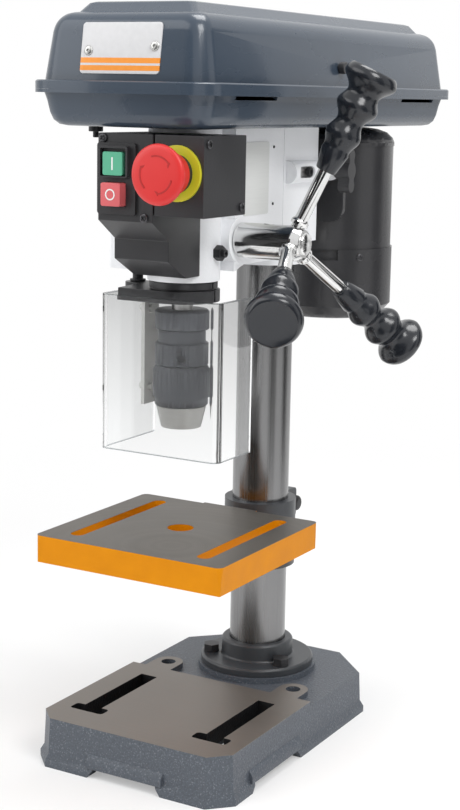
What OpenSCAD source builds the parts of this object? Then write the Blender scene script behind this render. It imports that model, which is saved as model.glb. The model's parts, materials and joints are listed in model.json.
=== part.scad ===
// Benchtop drill press: cast base, column, tilting table, head with rack fed quill,
// five step belt drive under a hinged cover, motor, switch box and swing guard.
// Millimetres. X to the operator's right, Y to the back, Z up.
// The origin lies on the bench below the column axis.

/* [Base] */
// Width of the base at its machined pad
base_w = 166; // [156:1:200]
// Reach of the base in front of the column axis
base_front = 198; // [190:1:240]
// Reach of the base behind the column axis
base_back = 62.5; // [58:0.5:90]
// Height of the machined pad above the bench
base_h = 38; // [34:0.5:50]
// Step from the machined pad down to the painted deck
pad_step = 4.5; // [2:0.5:7]
// Thickness of the top plate below the painted deck
base_top_t = 9; // [7:0.5:12]
// Thickness of the side walls of the base
base_wall = 8; // [6:0.5:11]
// Cut of the two front corners
front_cut = 14; // [8:1:20]
// Cut of the two rear corners
rear_cut = 36; // [24:1:40]
// Flare of the skirt at the bench
skirt_flare = 4; // [2:0.5:6]
// Height of the skirt
skirt_h = 10; // [8:0.5:14]
// Height of the arches between the feet
arch_h = 7.5; // [4:0.5:10]
// Distance between the two bench bolt holes
bench_pitch = 117.6; // [110:0.2:124]
// Diameter of the bench bolt holes
bench_hole_d = 12; // [9:0.5:14]
// Distance of the bench bolt holes in front of the column axis
bench_hole_y = 45.9; // [42:0.1:50]
// Distance between the two base slots
slot_pitch = 109; // [100:1:116]
// Width of the base slots
slot_w = 15; // [10:0.5:18]
// Width of the entry at the front end of a base slot
slot_entry_w = 29.5; // [24:0.5:34]
// Length of the base slots
slot_len = 90; // [60:1:110]

/* [Column] */
// Diameter of the column
column_d = 46; // [42:1:48]
// Wall of the column tube
column_wall = 4; // [3:0.5:6]
// Diameter of the column flange
flange_d = 93.6; // [88:0.2:98]
// Thickness of the column flange
flange_t = 6.7; // [5:0.1:10]
// Height of the flange with its collar
flange_h = 21; // [16:0.5:30]
// Wall of the collar round the column
collar_wall = 6.6; // [5:0.2:8]
// Thread diameter of the flange bolts
flange_bolt_d = 8; // [6:1:8]

/* [Table] */
// Width of the table
table_w = 160; // [140:1:180]
// Depth of the table from front to back
table_len = 151.8; // [130:0.2:152]
// Thickness of the table rim
table_rim = 21; // [16:0.5:26]
// Thickness of the table plate
table_plate = 9; // [7:0.5:12]
// Height of the table top above the bench
table_z = 180.6; // [174:0.2:186]
// Diameter of the hole in the middle of the table
table_hole_d = 20; // [14:1:26]
// Distance between the two table slots
table_slot_pitch = 110; // [96:1:116]
// Width of the table slots
table_slot_w = 11; // [8:0.5:13]
// Length of the table slots
table_slot_len = 123; // [90:1:126]
// Height of the clamping collar of the table bracket
bracket_h = 55; // [48:1:60]
// Wall of the clamping collar
bracket_wall = 6.3; // [5:0.1:8]
// Diameter of the tilt pivot boss
tilt_boss_d = 30; // [26:1:32]
// Diameter of the tilt pivot bolt
tilt_bolt_d = 10; // [8:1:12]

/* [Head] */
// Distance from the column axis to the spindle axis
throat = 125; // [122:1:150]
// Height of the nose of the head above the bench
nose_z = 370; // [366:1:400]
// Height of the head casting
head_h = 111; // [108:1:120]
// Width of the head casting
head_w = 60; // [58:1:70]
// Diameter of the round nose
nose_d = 53.6; // [51:0.2:58]
// Reach of the head behind the column axis
head_back = 32; // [30:0.5:40]
// Length of the spigot below the nose
spigot_h = 15.5; // [14:0.5:20]
// Diameter of the spigot below the nose
spigot_d = 44.6; // [43.6:0.2:46]

/* [Quill and spindle] */
// Diameter of the quill
quill_d = 40; // [38:0.5:41]
// Travel of the quill
quill_travel = 50; // [30:1:52]
// Diameter of the spindle
spindle_d = 15.6; // [13:0.2:16]
// Outside diameter of the spindle bearings
quill_bearing_d = 32; // [28:1:34]
// Width of the spindle bearings
quill_bearing_w = 9; // [7:0.5:11]

/* [Chuck] */
// Diameter of the geared chuck sleeve
chuck_sleeve_d = 42.4; // [40.8:0.2:46]
// Diameter of the chuck body
chuck_body_d = 39.6; // [38:0.2:40]
// Length of the chuck
chuck_len = 88; // [84:1:96]
// Diameter of one chuck jaw
jaw_d = 8; // [6:0.5:8]
// Slope of the jaws to the spindle axis in degrees
jaw_slope = 10; // [8:0.5:11]

/* [Feed] */
// Teeth on the feed pinion
pinion_teeth = 16; // [14:1:18]
// Module of the rack and pinion
gear_module = 1.25; // [1:0.05:1.3]
// Diameter of the bright feed hub
hub_d = 26; // [24:0.5:30]
// Length of the feed hub to the middle of the spokes
hub_len = 41; // [36:1:50]
// Outward tilt of the spokes in degrees
spoke_tilt = 22.5; // [10:0.5:30]
// Length of a spoke from the hub axis to the end of its grip
spoke_len = 137; // [110:1:160]
// Diameter of a spoke
spoke_d = 10; // [8:0.5:11]
// Length of a grip
grip_len = 79; // [70:1:90]
// Diameter of the grip at its end
grip_d = 40; // [30:1:44]
// Turn of the first spoke up from the back in degrees
spoke_turn = 79; // [0:1:119]

/* [Belt drive] */
// Pitch diameter of the smallest pulley step
pulley_small_d = 44; // [40:1:52]
// Growth of the pitch diameter from one step to the next
pulley_step_d = 12; // [8:1:12]
// Height of one pulley step
pulley_step_h = 12; // [11.5:0.5:12.5]
// Width of the belt across its back
belt_w = 9; // [8:0.2:9.4]
// Thickness of the belt
belt_t = 6; // [5:0.2:7]

/* [Belt guard] */
// Width of the guard pan at its rim
pan_w = 138; // [134:1:160]
// Reach of the pan in front of the spindle axis
pan_front = 89; // [84:1:110]
// Reach of the pan behind the motor axis
pan_back = 84; // [76:1:100]
// Height of the pan
pan_h = 25; // [22:0.5:32]
// Corner radius of the pan
pan_corner = 18; // [14:1:26]
// Sheet thickness of pan and cover
sheet_t = 1.6; // [1:0.1:2.2]
// Overhang of the rim round pan and cover
rim_reach = 5.5; // [4:0.5:8]
// Height of the cover above the pan
cover_h = 52.5; // [50:0.5:64]
// Height of the raised panel on the cover
crown_h = 7.5; // [4:0.5:12]
// Diameter of the hinge knuckles
knuckle_d = 7; // [6:0.2:8]

/* [Motor] */
// Gap between the motor plate and the motor
motor_pad = 1.5; // [1:0.5:8]
// Diameter of the motor
motor_d = 104; // [96:1:106]
// Length of the motor
motor_len = 159; // [150:1:175]
// Diameter of the motor shaft
motor_shaft_d = 14; // [11:0.5:15]
// Diameter of the two slide rods
slide_d = 10; // [9:0.5:11]
// Distance between the two slide rods
slide_pitch = 62; // [61:1:68]
// Travel of the motor that slackens the belt
motor_travel = 6; // [4:0.5:10]

/* [Switch] */
// Width of the switch housing
housing_w = 45.2; // [42:0.2:52]
// Reach of the switch housing in front of the spindle axis
housing_front = 78; // [76:0.5:84]
// Height of the upper part of the switch housing
housing_h = 60; // [56:0.5:62]
// Width of the stop box
stop_box_w = 38; // [36:0.5:46]
// Depth of the stop box
stop_box_depth = 57; // [48:1:62]
// Height of the stop box
stop_box_h = 55; // [48:1:60]
// Diameter of the mushroom head
mushroom_d = 41; // [32:0.5:44]
// Travel of the start and stop buttons
button_travel = 3; // [2:0.5:4]
// Travel of the mushroom head
mushroom_travel = 5; // [3:0.5:6]

/* [Chuck guard] */
// Width of the clear guard
guard_w = 102.6; // [98:0.2:120]
// Height of the clear guard
guard_h = 116; // [100:1:118]
// Reach of the guard in front of the spindle axis
guard_front = 35; // [32:0.5:45]
// Thickness of the clear sheet
guard_t = 3; // [2:0.2:4]
// Diameter of the guard rod
guard_rod_d = 8; // [6:0.5:9]

/* [Fits] */
// Radial clearance of a round piece in its hole
fit = 0.05; // [0.02:0.01:0.09]
// Clearance between moving neighbours
gap = 0.3; // [0.25:0.05:0.5]

/* [Hidden] */
$fn = 64;
spindle_y = -throat;

// Heights of the column foot and of the table
deck_z = base_h - pad_step;
collar_d = column_d + 2 * collar_wall;
collar_top = base_h + flange_h;
flange_bolt_r = (flange_d + collar_d) / 4;
flange_washer_d = flange_bolt_d * 1.6;
bracket_d = column_d + 2 * bracket_wall;
bracket_z = table_z - bracket_h - 1.6;
table_back_y = spindle_y + table_len / 2;
tilt_z = table_z - table_rim - tilt_boss_d / 2 + 4;
clamp_y = bracket_d / 2 + 8;
clamp_z = bracket_z + bracket_h - 12;
clamp_screw_d = 8;
clamp_ear_x = 10;

// Head casting
head_top = nose_z + head_h;
web_z = nose_z + 10;
rear_z = nose_z + 20;
column_boss_z = nose_z + 3;
column_top = head_top - 9;
pinion_r = pinion_teeth * gear_module / 2;
rack_line = quill_d / 2 - 0.8 * gear_module;
pinion_y = spindle_y + rack_line + pinion_r;
pinion_z = head_top - 82;
pinion_tip = pinion_r + 0.84 * gear_module;
journal_d = 2 * pinion_tip + 0.4;
feed_boss_d = journal_d + 11.5;
feed_boss_x = head_w / 2 + 1;
slide_z = head_top - 35;
slide_boss_d = slide_d + 7.5;
slide_boss_front = -25;
slide_boss_back = head_back + 18;
slide_screw_y = 0;
knob_screw_y = slide_boss_back - 7;
plate_y = slide_boss_back + motor_travel + 1;
plate_t = 4.5;
motor_y = plate_y + plate_t + motor_pad + motor_d / 2;
gib_z = nose_z + 21;
gib_y = spindle_y + 2;
gib_d = 6;

// Quill, spindle and their bearings
quill_z = nose_z - 13;
rack_pitch = PI * gear_module;
quill_top = pinion_z + quill_travel + 2 * rack_pitch;
drive_d = spindle_d - 2.6;
pulley_sleeve_d = drive_d + 7;
pulley_bearing_d = quill_d + 2;
pulley_bearing_w = 9;
spindle_top = head_top + 64;

// Chuck
chuck_top = nose_z - 22;
chuck_z = chuck_top - chuck_len;
nose_cone_z = chuck_z + 16;
sleeve_z = nose_cone_z + gap;
sleeve_top = chuck_z + 46.4;
chuck_core_d = chuck_body_d - 7.6;
key_hole_z = chuck_z + 53;
body_groove_z = chuck_z + 63.7;
body_ring_z = chuck_z + 73.4;
jaw_foot_r = 7;
jaw_len = 26;
jaw_z = chuck_z + 2.5;

// Feed levers
hub_x = feed_boss_x + gap;
spoke_x = hub_x + hub_len;
spoke_root = 9;
hub_end_x = spoke_x + 12;
spoke_collar = hub_d / 2 / cos(spoke_tilt) + 0.9;
hub_bore_d = journal_d - 6;
spring_cap_d = 42;
spring_cap_x = -feed_boss_x - 8;

// Pulleys and belt
pan_z = head_top;
pulley_z = pan_z + sheet_t + 5;
pulley_steps = 5;
belt_step = 2;
function pulley_r(i) = (pulley_small_d + i * pulley_step_d) / 2;
groove_w = belt_w + 2 * gap + 0.4;
groove_depth = belt_t + 2.2;
pulley_rim = 2.4;
belt_z = pulley_z + (belt_step + 0.5) * pulley_step_h;

// Belt guard
rim_z = pan_z + pan_h;
pan_half = pan_w / 2;
pan_front_y = spindle_y - pan_front;
pan_back_y = motor_y + pan_back;
rim_t = 2.4;
cover_z = rim_z + gap;
cover_top = rim_z + cover_h;
crown_top = cover_top + crown_h;
hinge_x = -(pan_half + rim_reach + knuckle_d / 2 + gap);
hinge_z = rim_z + gap / 2;
hinge_places = [spindle_y + 5, motor_y - 5];
hinge_leaf = 40;
hinge_pin_d = 3;
latch_y = -11;
latch_z = rim_z + 20;
latch_d = 9;

// Motor and its carriage
motor_top = head_top - 2;
motor_z = motor_top - motor_len;
motor_seam_z = motor_top - 15;
fan_cover_top = motor_z + 0.371 * motor_len;
plate_w = slide_pitch + slide_boss_d;
plate_z = slide_z - 43;
plate_top = slide_z + 24;

// Switch housing
housing_top = head_top - 4;
housing_y = spindle_y - housing_front;
housing_half = housing_w / 2;
housing_wall = 2.5;
step_y = housing_y + 20.5;
heel_y = housing_y + 45;
heel_z = nose_z + 5;
step_top = housing_top - housing_h - 14;
step_low = step_top - 14.5;
stop_x = housing_half + stop_box_w / 2 + 1;
stop_z = housing_top - 25.5;
stop_box_z = housing_top - stop_box_h;
button_x = -housing_half + 16.2;
start_z = housing_top - 20.5;
stop_button_z = housing_top - 41.5;
button_w = 16;
stop_ring_t = 2.6;
mushroom_lift = stop_ring_t + mushroom_travel + 1;
mushroom_barrel = 0.355 * mushroom_d;
mushroom_bore = mushroom_barrel - 1.3;
stop_neck_d = 2 * mushroom_bore - 4.6;
panel_t = 2;
stop_screw_places = [[housing_y + 6, housing_top - 5.5], [housing_y + stop_box_depth - 6, stop_box_z + 5.5]];

// Chuck guard
guard_top = nose_z - 11;
guard_z = guard_top - guard_h;
guard_y = spindle_y - guard_front;
guard_right_back = spindle_y + 14;
guard_left_back = spindle_y + 39;
rod_x = -guard_w / 2 + 1.3;
rod_y = spindle_y + 15;
arm_z = nose_z - 15.5;
arm_t = 9;
notch_z = arm_z - 3.4;
rod_top = nose_z + 24;
hanger_w = 20;
hanger_t = 3;
guard_nut_y = guard_left_back - 11;
hanger_len = 83;
guard_nut_places = [notch_z - 9, notch_z - 70];

// Round bar along one axis between two places
module x_bar(d, x0, x1, y, z) translate([x0, y, z]) rotate([0, 90, 0]) cylinder(d = d, h = x1 - x0);
module y_bar(d, y0, y1, x, z) translate([x, y0, z]) rotate([-90, 0, 0]) cylinder(d = d, h = y1 - y0);
module z_bar(d, z0, z1, x = 0, y = 0) translate([x, y, z0]) cylinder(d = d, h = z1 - z0);

// Box between two places on each axis
module block(x, y, z) translate([x[0], y[0], z[0]]) cube([x[1] - x[0], y[1] - y[0], z[1] - z[0]]);

// Flat shape in the Y and Z plane, drawn out along X
module along_x(x0, x1) translate([x0, 0, 0]) rotate([90, 0, 90]) linear_extrude(x1 - x0) children();

// Flat shape in the X and Z plane, drawn out along Y
module along_y(y0, y1) translate([0, y1, 0]) rotate([90, 0, 0]) linear_extrude(y1 - y0) children();

// Flat rectangle with round corners
module round_rect(x, y, r) {
    square_x = [x[0] + r, x[1] - r];
    square_y = [y[0] + r, y[1] - r];
    translate([x[0], square_y[0]]) square([x[1] - x[0], square_y[1] - square_y[0]]);
    translate([square_x[0], y[0]]) square([square_x[1] - square_x[0], y[1] - y[0]]);
    for (cx = square_x, cy = square_y) translate([cx, cy]) circle(r);
}

// Flat slot with round ends along Y
module round_slot(w, y0, y1) round_rect([-w / 2, w / 2], [y0, y1], w / 2 - 0.01);

// Hexagon head of a screw, standing on the plane Z = 0
module hex_head(across, h) cylinder(d = across / cos(30), h = h, $fn = 6);

// Round head with a hexagon socket, standing on the plane Z = 0
module socket_head(d, h) {
    difference() {
        cylinder(d = d, h = h);
        translate([0, 0, h * 0.45]) hex_head(d * 0.5, h);
    }
}

// Outline of the base, grown by o
function base_outline(o) = let(
        half = base_w / 2 + o,
        t = o * tan(22.5),
        front = base_front + o,
        back = base_back + o)
    [[half, -base_front + front_cut - t], [half, base_back - rear_cut + t],
     [base_w / 2 - rear_cut + t, back], [-base_w / 2 + rear_cut - t, back],
     [-half, base_back - rear_cut + t], [-half, -base_front + front_cut - t],
     [-base_w / 2 + front_cut - t, -front], [base_w / 2 - front_cut + t, -front]];

// Thin slab of the base outline
module base_slab(o, z) translate([0, 0, z]) linear_extrude(0.01) polygon(base_outline(o));

// Bead round the foot of the base, standing at height z
module base_skirt(z) hull() {
    base_slab(skirt_flare, z);
    base_slab(skirt_flare, z + skirt_h - 5);
    base_slab(1, z + skirt_h);
}

// Arch between two feet, as a flat shape
module arch(a0, a1) polygon([[a0 - 6, -1], [a0, arch_h], [a1, arch_h], [a1 + 6, -1]]);

// Slot through the base with a wide entry at its front end
module base_slot() {
    front = -base_front + 26;
    translate([-slot_w / 2, front]) square([slot_w, slot_len]);
    round_rect([-slot_entry_w / 2, slot_entry_w / 2], [front, front + 11], 3);
}

// Places of the flange bolts round the column
module at_flange_bolts() for (a = [-150, -30, 90]) rotate(a) translate([flange_bolt_r, 0, 0]) children();

module base() color("slategray") difference() {
    seat_r = flange_d / 2 + 2.2;
    pad_back = -bench_hole_y - 16.4;
    ear_r = bench_hole_d / 2 + 6;
    arch_half = 27;
    side_arch = [-base_front + 43, -base_front + 109];
    union() {
        hull() {
            base_slab(1.6, 0);
            base_slab(0, deck_z);
        }
        base_skirt(0);
        intersection() {
            base_skirt(arch_h);
            union() {
                block([-arch_half - 6, arch_half + 6], [-2 * base_front, 2 * base_back], [0, base_h]);
                block([-base_w, base_w], [side_arch[0] - 6, side_arch[1] + 6], [0, base_h]);
            }
        }
        linear_extrude(base_h) {
            intersection() {
                polygon(base_outline(0));
                translate([-base_w, -2 * base_front]) square([2 * base_w, 2 * base_front + pad_back]);
            }
            for (s = [-1, 1]) {
                translate([s * bench_pitch / 2, -bench_hole_y]) circle(ear_r);
                translate([s * bench_pitch / 2 - ear_r, pad_back - 1]) square([2 * ear_r, 17.4]);
            }
            circle(seat_r);
        }
    }
    difference() {
        translate([0, 0, -1]) linear_extrude(deck_z - base_top_t + 1) polygon(base_outline(-base_wall));
        for (s = [-1, 1]) {
            block([s * 30 - 3, s * 30 + 3], [-base_front, base_back], [arch_h + 2, base_h]);
            z_bar(bench_hole_d + 14, arch_h, base_h, s * bench_pitch / 2, -bench_hole_y);
        }
        block([-base_w, base_w], [-72, -66], [arch_h + 2, base_h]);
        z_bar(column_d + 12, arch_h, base_h);
    }
    for (s = [-1, 1]) {
        translate([s * slot_pitch / 2, 0, -1]) linear_extrude(base_h + 2) base_slot();
        z_bar(bench_hole_d, -1, base_h + 1, s * bench_pitch / 2, -bench_hole_y);
    }
    at_flange_bolts() z_bar(flange_bolt_d + 2 * fit, base_h - 14, base_h + 1);
    along_y(-2 * base_front, 2 * base_back) arch(-arch_half, arch_half);
    along_x(-base_w, base_w) arch(side_arch[0], side_arch[1]);
}

module column_flange() color("dimgray") difference() {
    collar_r = collar_d / 2;
    fillet = flange_bolt_r - collar_r - flange_washer_d / 2 - gap;
    translate([0, 0, base_h]) rotate_extrude() difference() {
        polygon([
            [column_d / 2 + fit, 0], [flange_d / 2, 0], [flange_d / 2, flange_t - 1.5],
            [flange_d / 2 - 1.5, flange_t], [collar_r + fillet, flange_t], [collar_r, flange_t + fillet],
            [collar_r, flange_h - 1.5], [collar_r - 1.5, flange_h], [column_d / 2 + fit, flange_h]
        ]);
        translate([collar_r + fillet, flange_t + fillet]) circle(fillet);
    }
    at_flange_bolts() z_bar(flange_bolt_d + 2 * fit, base_h - 1, collar_top + 1);
}

module flange_bolts() color("dimgray") at_flange_bolts() {
    seat_z = base_h + flange_t;
    z_bar(flange_bolt_d, base_h - 12, seat_z);
    z_bar(flange_washer_d, seat_z, seat_z + 1.4);
    translate([0, 0, seat_z + 1.4]) rotate(30) hex_head(flange_washer_d - 0.8, 5);
}

module column() color("silver") difference() {
    z_bar(column_d, base_h, column_top);
    z_bar(column_d - 2 * column_wall, base_h - 1, column_top - column_wall);
}

// Clamping collar with a pivot boss in front and split ears behind
module table_bracket() color("dimgray") difference() {
    ear_back = clamp_y + 8;
    union() {
        z_bar(bracket_d, bracket_z, bracket_z + bracket_h);
        y_bar(tilt_boss_d, table_back_y + gap, 0, 0, tilt_z);
        along_x(-clamp_ear_x, clamp_ear_x) round_rect([0, ear_back], [clamp_z - 14, bracket_z + bracket_h], 4);
    }
    z_bar(column_d + 2 * fit, bracket_z - 1, bracket_z + bracket_h + 1);
    block([-1.5, 1.5], [0, ear_back + 1], [bracket_z - 1, bracket_z + bracket_h + 1]);
    x_bar(clamp_screw_d + 2 * fit, -clamp_ear_x - 1, clamp_ear_x + 1, clamp_y, clamp_z);
    y_bar(tilt_bolt_d + 2 * fit, table_back_y - 1, 0, 0, tilt_z);
    y_bar(tilt_bolt_d * 2, -column_d / 2 - 9, 0, 0, tilt_z);
}

// Clamp screw with a cross handle on the left
module table_clamp() color("black") {
    handle_x = -bracket_d / 2 - 16;
    bar_x = handle_x + 6;
    bar_half = 34;
    x_bar(clamp_screw_d, handle_x + 2, clamp_ear_x + 5, clamp_y, clamp_z);
    x_bar(clamp_screw_d + 5, handle_x, -clamp_ear_x - gap, clamp_y, clamp_z);
    z_bar(6.5, clamp_z - bar_half, clamp_z + bar_half, bar_x, clamp_y);
    for (s = [-1, 1]) translate([bar_x, clamp_y, clamp_z + s * bar_half]) sphere(d = 11);
}

module clamp_nut() color("black") difference() {
    translate([clamp_ear_x, clamp_y, clamp_z]) rotate([0, 90, 0]) rotate_extrude() difference() {
        square([clamp_screw_d / 2 + 2.5, 7]);
        translate([clamp_screw_d / 2 - 0.5, 4]) difference() {
            square([6, 6]);
            circle(3);
        }
    }
    x_bar(clamp_screw_d + 2 * fit, clamp_ear_x - 1, clamp_ear_x + 5 + gap, clamp_y, clamp_z);
}

// Table with a machined top, ribs below and a pivot boss at the back
module table() color("goldenrod") difference() {
    half = table_w / 2;
    front_y = table_back_y - table_len;
    low_z = table_z - table_rim;
    draft = 1.2;
    corner = 5;
    wall = 7;
    boss_front = table_back_y - 30;
    back_y = table_back_y - 2.5;
    pad_half = tilt_boss_d / 2 + 9;
    union() {
        intersection() {
            translate([0, 0, low_z]) linear_extrude(table_rim)
                round_rect([-half, half], [front_y, back_y], corner);
            along_y(front_y, table_back_y) polygon([
                [-half, table_z], [-half + draft, low_z], [half - draft, low_z], [half, table_z]
            ]);
            along_x(-half, half) polygon([
                [front_y, table_z], [front_y + draft, low_z], [back_y - draft, low_z], [back_y, table_z]
            ]);
        }
        block([-pad_half, pad_half], [back_y - wall, table_back_y], [low_z, table_z]);
        y_bar(tilt_boss_d, boss_front, table_back_y, 0, tilt_z);
        block([-tilt_boss_d / 2, tilt_boss_d / 2], [boss_front, table_back_y], [tilt_z, table_z - 2]);
    }
    difference() {
        translate([0, 0, low_z - 1]) linear_extrude(table_rim - table_plate + 1)
            round_rect([-half + wall, half - wall], [front_y + wall, back_y - wall], corner - 2);
        z_bar(table_hole_d + 16, low_z, table_z, 0, spindle_y);
        for (s = [-1, 1]) {
            block([s * 32 - 3, s * 32 + 3], [front_y, table_back_y], [low_z + 3, table_z]);
        }
        block([-half, half], [spindle_y - 3, spindle_y + 3], [low_z + 3, table_z]);
        y_bar(tilt_boss_d, boss_front, table_back_y, 0, tilt_z);
        block([-tilt_boss_d / 2, tilt_boss_d / 2], [boss_front, table_back_y], [tilt_z, table_z]);
    }
    z_bar(table_hole_d, low_z - 1, table_z + 1, 0, spindle_y);
    for (s = [-1, 1]) {
        translate([s * table_slot_pitch / 2, spindle_y, low_z - 1]) linear_extrude(table_rim + 2)
            round_slot(table_slot_w, -table_slot_len / 2, table_slot_len / 2);
    }
    y_bar(tilt_bolt_d + 2 * fit, boss_front - 1, table_back_y + 1, 0, tilt_z);
}

module tilt_bolt() color("dimgray") {
    boss_front = table_back_y - 30;
    y_bar(tilt_bolt_d, boss_front - 1, -column_d / 2 - 9, 0, tilt_z);
    y_bar(tilt_bolt_d * 1.9, boss_front - 2.2, boss_front - gap, 0, tilt_z);
    translate([0, boss_front - 2.2, tilt_z]) rotate([90, 0, 0]) hex_head(tilt_bolt_d * 1.6, 6);
    y_bar(tilt_bolt_d * 1.6, -column_d / 2 - 9, -column_d / 2 - 3, 0, tilt_z);
}

// Side profile of the head between nose and back
module head_profile() {
    front = spindle_y + nose_d / 2 - 5;
    polygon([
        [front, web_z - 4], [front + 3, web_z - 4], [front + 8, web_z - 2], [front + 15, web_z],
        [-column_d / 2 - 6, web_z], [-column_d / 2 - 6, rear_z], [head_back, rear_z], [head_back, head_top],
        [front, head_top]
    ]);
}

// Casting that holds the quill, the column and the motor slides
module head_casting() color("whitesmoke") difference() {
    half = head_w / 2;
    union() {
        intersection() {
            along_x(-half, half) head_profile();
            linear_extrude(head_top)
                round_rect([-half, half], [spindle_y - nose_d, head_back], 4);
        }
        z_bar(nose_d, nose_z, head_top, 0, spindle_y);
        z_bar(spigot_d, nose_z - spigot_h, nose_z, 0, spindle_y);
        z_bar(head_w, column_boss_z, head_top - 5);
        x_bar(feed_boss_d, -feed_boss_x, feed_boss_x, pinion_y, pinion_z);
        for (s = [-1, 1]) {
            y_bar(slide_boss_d, slide_boss_front, slide_boss_back, s * slide_pitch / 2, slide_z);
        }
    }
    z_bar(quill_d + 2 * fit, nose_z - spigot_h - 1, head_top - 2 * pulley_bearing_w, 0, spindle_y);
    z_bar(pulley_bearing_d, head_top - 2 * pulley_bearing_w, head_top + 1, 0, spindle_y);
    z_bar(column_d + 2 * fit, column_boss_z - 1, column_top);
    x_bar(journal_d + 2 * fit, -feed_boss_x - 1, feed_boss_x + 1, pinion_y, pinion_z);
    for (s = [-1, 1]) {
        y_bar(slide_d + 2 * fit, slide_boss_front + 5, slide_boss_back + 1, s * slide_pitch / 2, slide_z);
    }
    translate([slide_pitch / 2, slide_screw_y, slide_z]) rotate([0, 90, 0]) linear_extrude(slide_boss_d)
        round_slot(9, -motor_travel - 13, 6);
    x_bar(6 + 2 * fit, slide_pitch / 2, slide_pitch / 2 + slide_boss_d, knob_screw_y, slide_z);
    x_bar(gib_d + 2 * fit, 0, nose_d, gib_y, gib_z);
    for (p = pan_screw_places()) z_bar(5 + 2 * fit, column_top + 0.5, head_top + 1, p[0], p[1]);
    for (s = [-1, 1]) {
        block([s * half - 0.5, s * half + 0.5], [-29.1, -28.3], [rear_z, head_top + 1]);
    }
}

// Places of the screws that hold the pan on the casting
function pan_screw_places() = [for (x = [-1, 1], y = [spindle_y + 45, 12]) [x * (head_w / 2 - 8), y]];

// Plain ball bearing: a ring with a groove in each face
module bearing(d_in, d_out, w) rotate_extrude() difference() {
    middle = (d_in + d_out) / 4;
    translate([d_in / 2, 0]) square([(d_out - d_in) / 2, w]);
    for (z = [0, w]) translate([middle - 1.5, z - 0.6]) square([3, 1.2]);
}

module pulley_bearings() color("silver") for (i = [1, 2]) {
    translate([0, spindle_y, head_top - i * pulley_bearing_w])
        bearing(pulley_sleeve_d + 2 * fit, pulley_bearing_d - 2 * fit, pulley_bearing_w);
}

// Set screw with a lock nut that guides the quill
module gib_screw() color("dimgray") difference() {
    face_x = nose_d / 2;
    union() {
        x_bar(gib_d, quill_d / 2 + gap, face_x + 8, gib_y, gib_z);
        translate([face_x, gib_y, gib_z]) rotate([0, 90, 0]) hex_head(10, 5);
    }
    translate([face_x + 5, gib_y, gib_z]) rotate([0, 90, 0]) hex_head(3, 6);
}

// Cup over the return spring on the left of the head
module spring_cap() color("dimgray") difference() {
    wall = 1.6;
    union() {
        x_bar(spring_cap_d, spring_cap_x, -feed_boss_x, pinion_y, pinion_z);
        x_bar(spring_cap_d * 0.45, spring_cap_x - 2, spring_cap_x, pinion_y, pinion_z);
    }
    x_bar(spring_cap_d - 2 * wall, spring_cap_x + wall, -feed_boss_x + 1, pinion_y, pinion_z);
}

// Points of a spiral round the feed axis that starts at radius r0
function spiral(r0, pitch, turns, steps) = [for (i = [0:turns * steps]) let(
        a = i * 360 / steps,
        r = r0 + pitch * i / steps)
    [pinion_y + r * cos(a), pinion_z + r * sin(a)]];

// Flat spiral spring that lifts the quill
module return_spring() color("steelblue") {
    turns = 5;
    steps = 18;
    strip = 0.7;
    inner = hub_bore_d / 2 + 1;
    pitch = (spring_cap_d / 2 - 2.4 - strip - inner) / turns;
    outer_edge = spiral(inner + strip, pitch, turns, steps);
    inner_edge = spiral(inner, pitch, turns, steps);
    along_x(spring_cap_x + 3, -feed_boss_x - 1)
        polygon(concat(outer_edge, [for (i = [len(inner_edge) - 1:-1:0]) inner_edge[i]]));
}

// Clamp ring on the spigot, flat in front, with an arm to the guard rod
module guard_bracket() color("black") difference() {
    ring_r = spigot_d / 2 + 4.7;
    arm_r = 9.5;
    front = spindle_y - ring_r;
    union() {
        translate([0, 0, arm_z]) linear_extrude(arm_t) {
            translate([0, spindle_y]) circle(r = ring_r);
            translate([rod_x, rod_y]) circle(r = arm_r);
            polygon([
                [0, front], [rod_x + 10, front], [rod_x + 8, rod_y - arm_r], [rod_x, rod_y - arm_r],
                [rod_x, rod_y + arm_r], [0, rod_y + arm_r]
            ]);
        }
        z_bar(spigot_d + 2.6, arm_z, nose_z, 0, spindle_y);
        z_bar(spigot_d + 6, arm_z + arm_t + 1, nose_z - 0.8, 0, spindle_y);
    }
    z_bar(spigot_d + 2 * fit, arm_z - 1, nose_z + 1, 0, spindle_y);
    z_bar(guard_rod_d + 2 * fit, arm_z - 1, arm_z + arm_t + 1, rod_x, rod_y);
    block([0, ring_r + 1], [spindle_y - 0.8, spindle_y + 0.8], [arm_z - 1, nose_z + 1]);
}

// Pale box beside the nose that the guard rod runs up into
module guard_switch_box() color("gainsboro") difference() {
    front = rod_y - 30;
    box_x = [rod_x - 7, spring_cap_x - 3];
    low_z = nose_z + 6;
    high_z = nose_z + 32;
    union() {
        translate([0, 0, low_z]) linear_extrude(high_z - low_z)
            round_rect(box_x, [front, rod_y + 9], 3);
        block([box_x[0] + 4, -nose_d / 4], [front, spindle_y - 1], [low_z, high_z]);
    }
    z_bar(nose_d + 2 * fit, low_z - 1, high_z + 1, 0, spindle_y);
    z_bar(guard_rod_d + 2 * fit, low_z - 1, rod_top + gap, rod_x, rod_y);
    x_bar(spring_cap_d + 2, spring_cap_x - 3, 0, pinion_y, pinion_z);
    block([-housing_half - gap, 0], [front - 1, spindle_y], [low_z - 1, high_z + 1]);
}

module guard_rod() color("silver") {
    z_bar(guard_rod_d, notch_z + hanger_t, rod_top, rod_x, rod_y);
    z_bar(guard_rod_d + 4, arm_z + arm_t + gap, arm_z + arm_t + 2, rod_x, rod_y);
}

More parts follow.
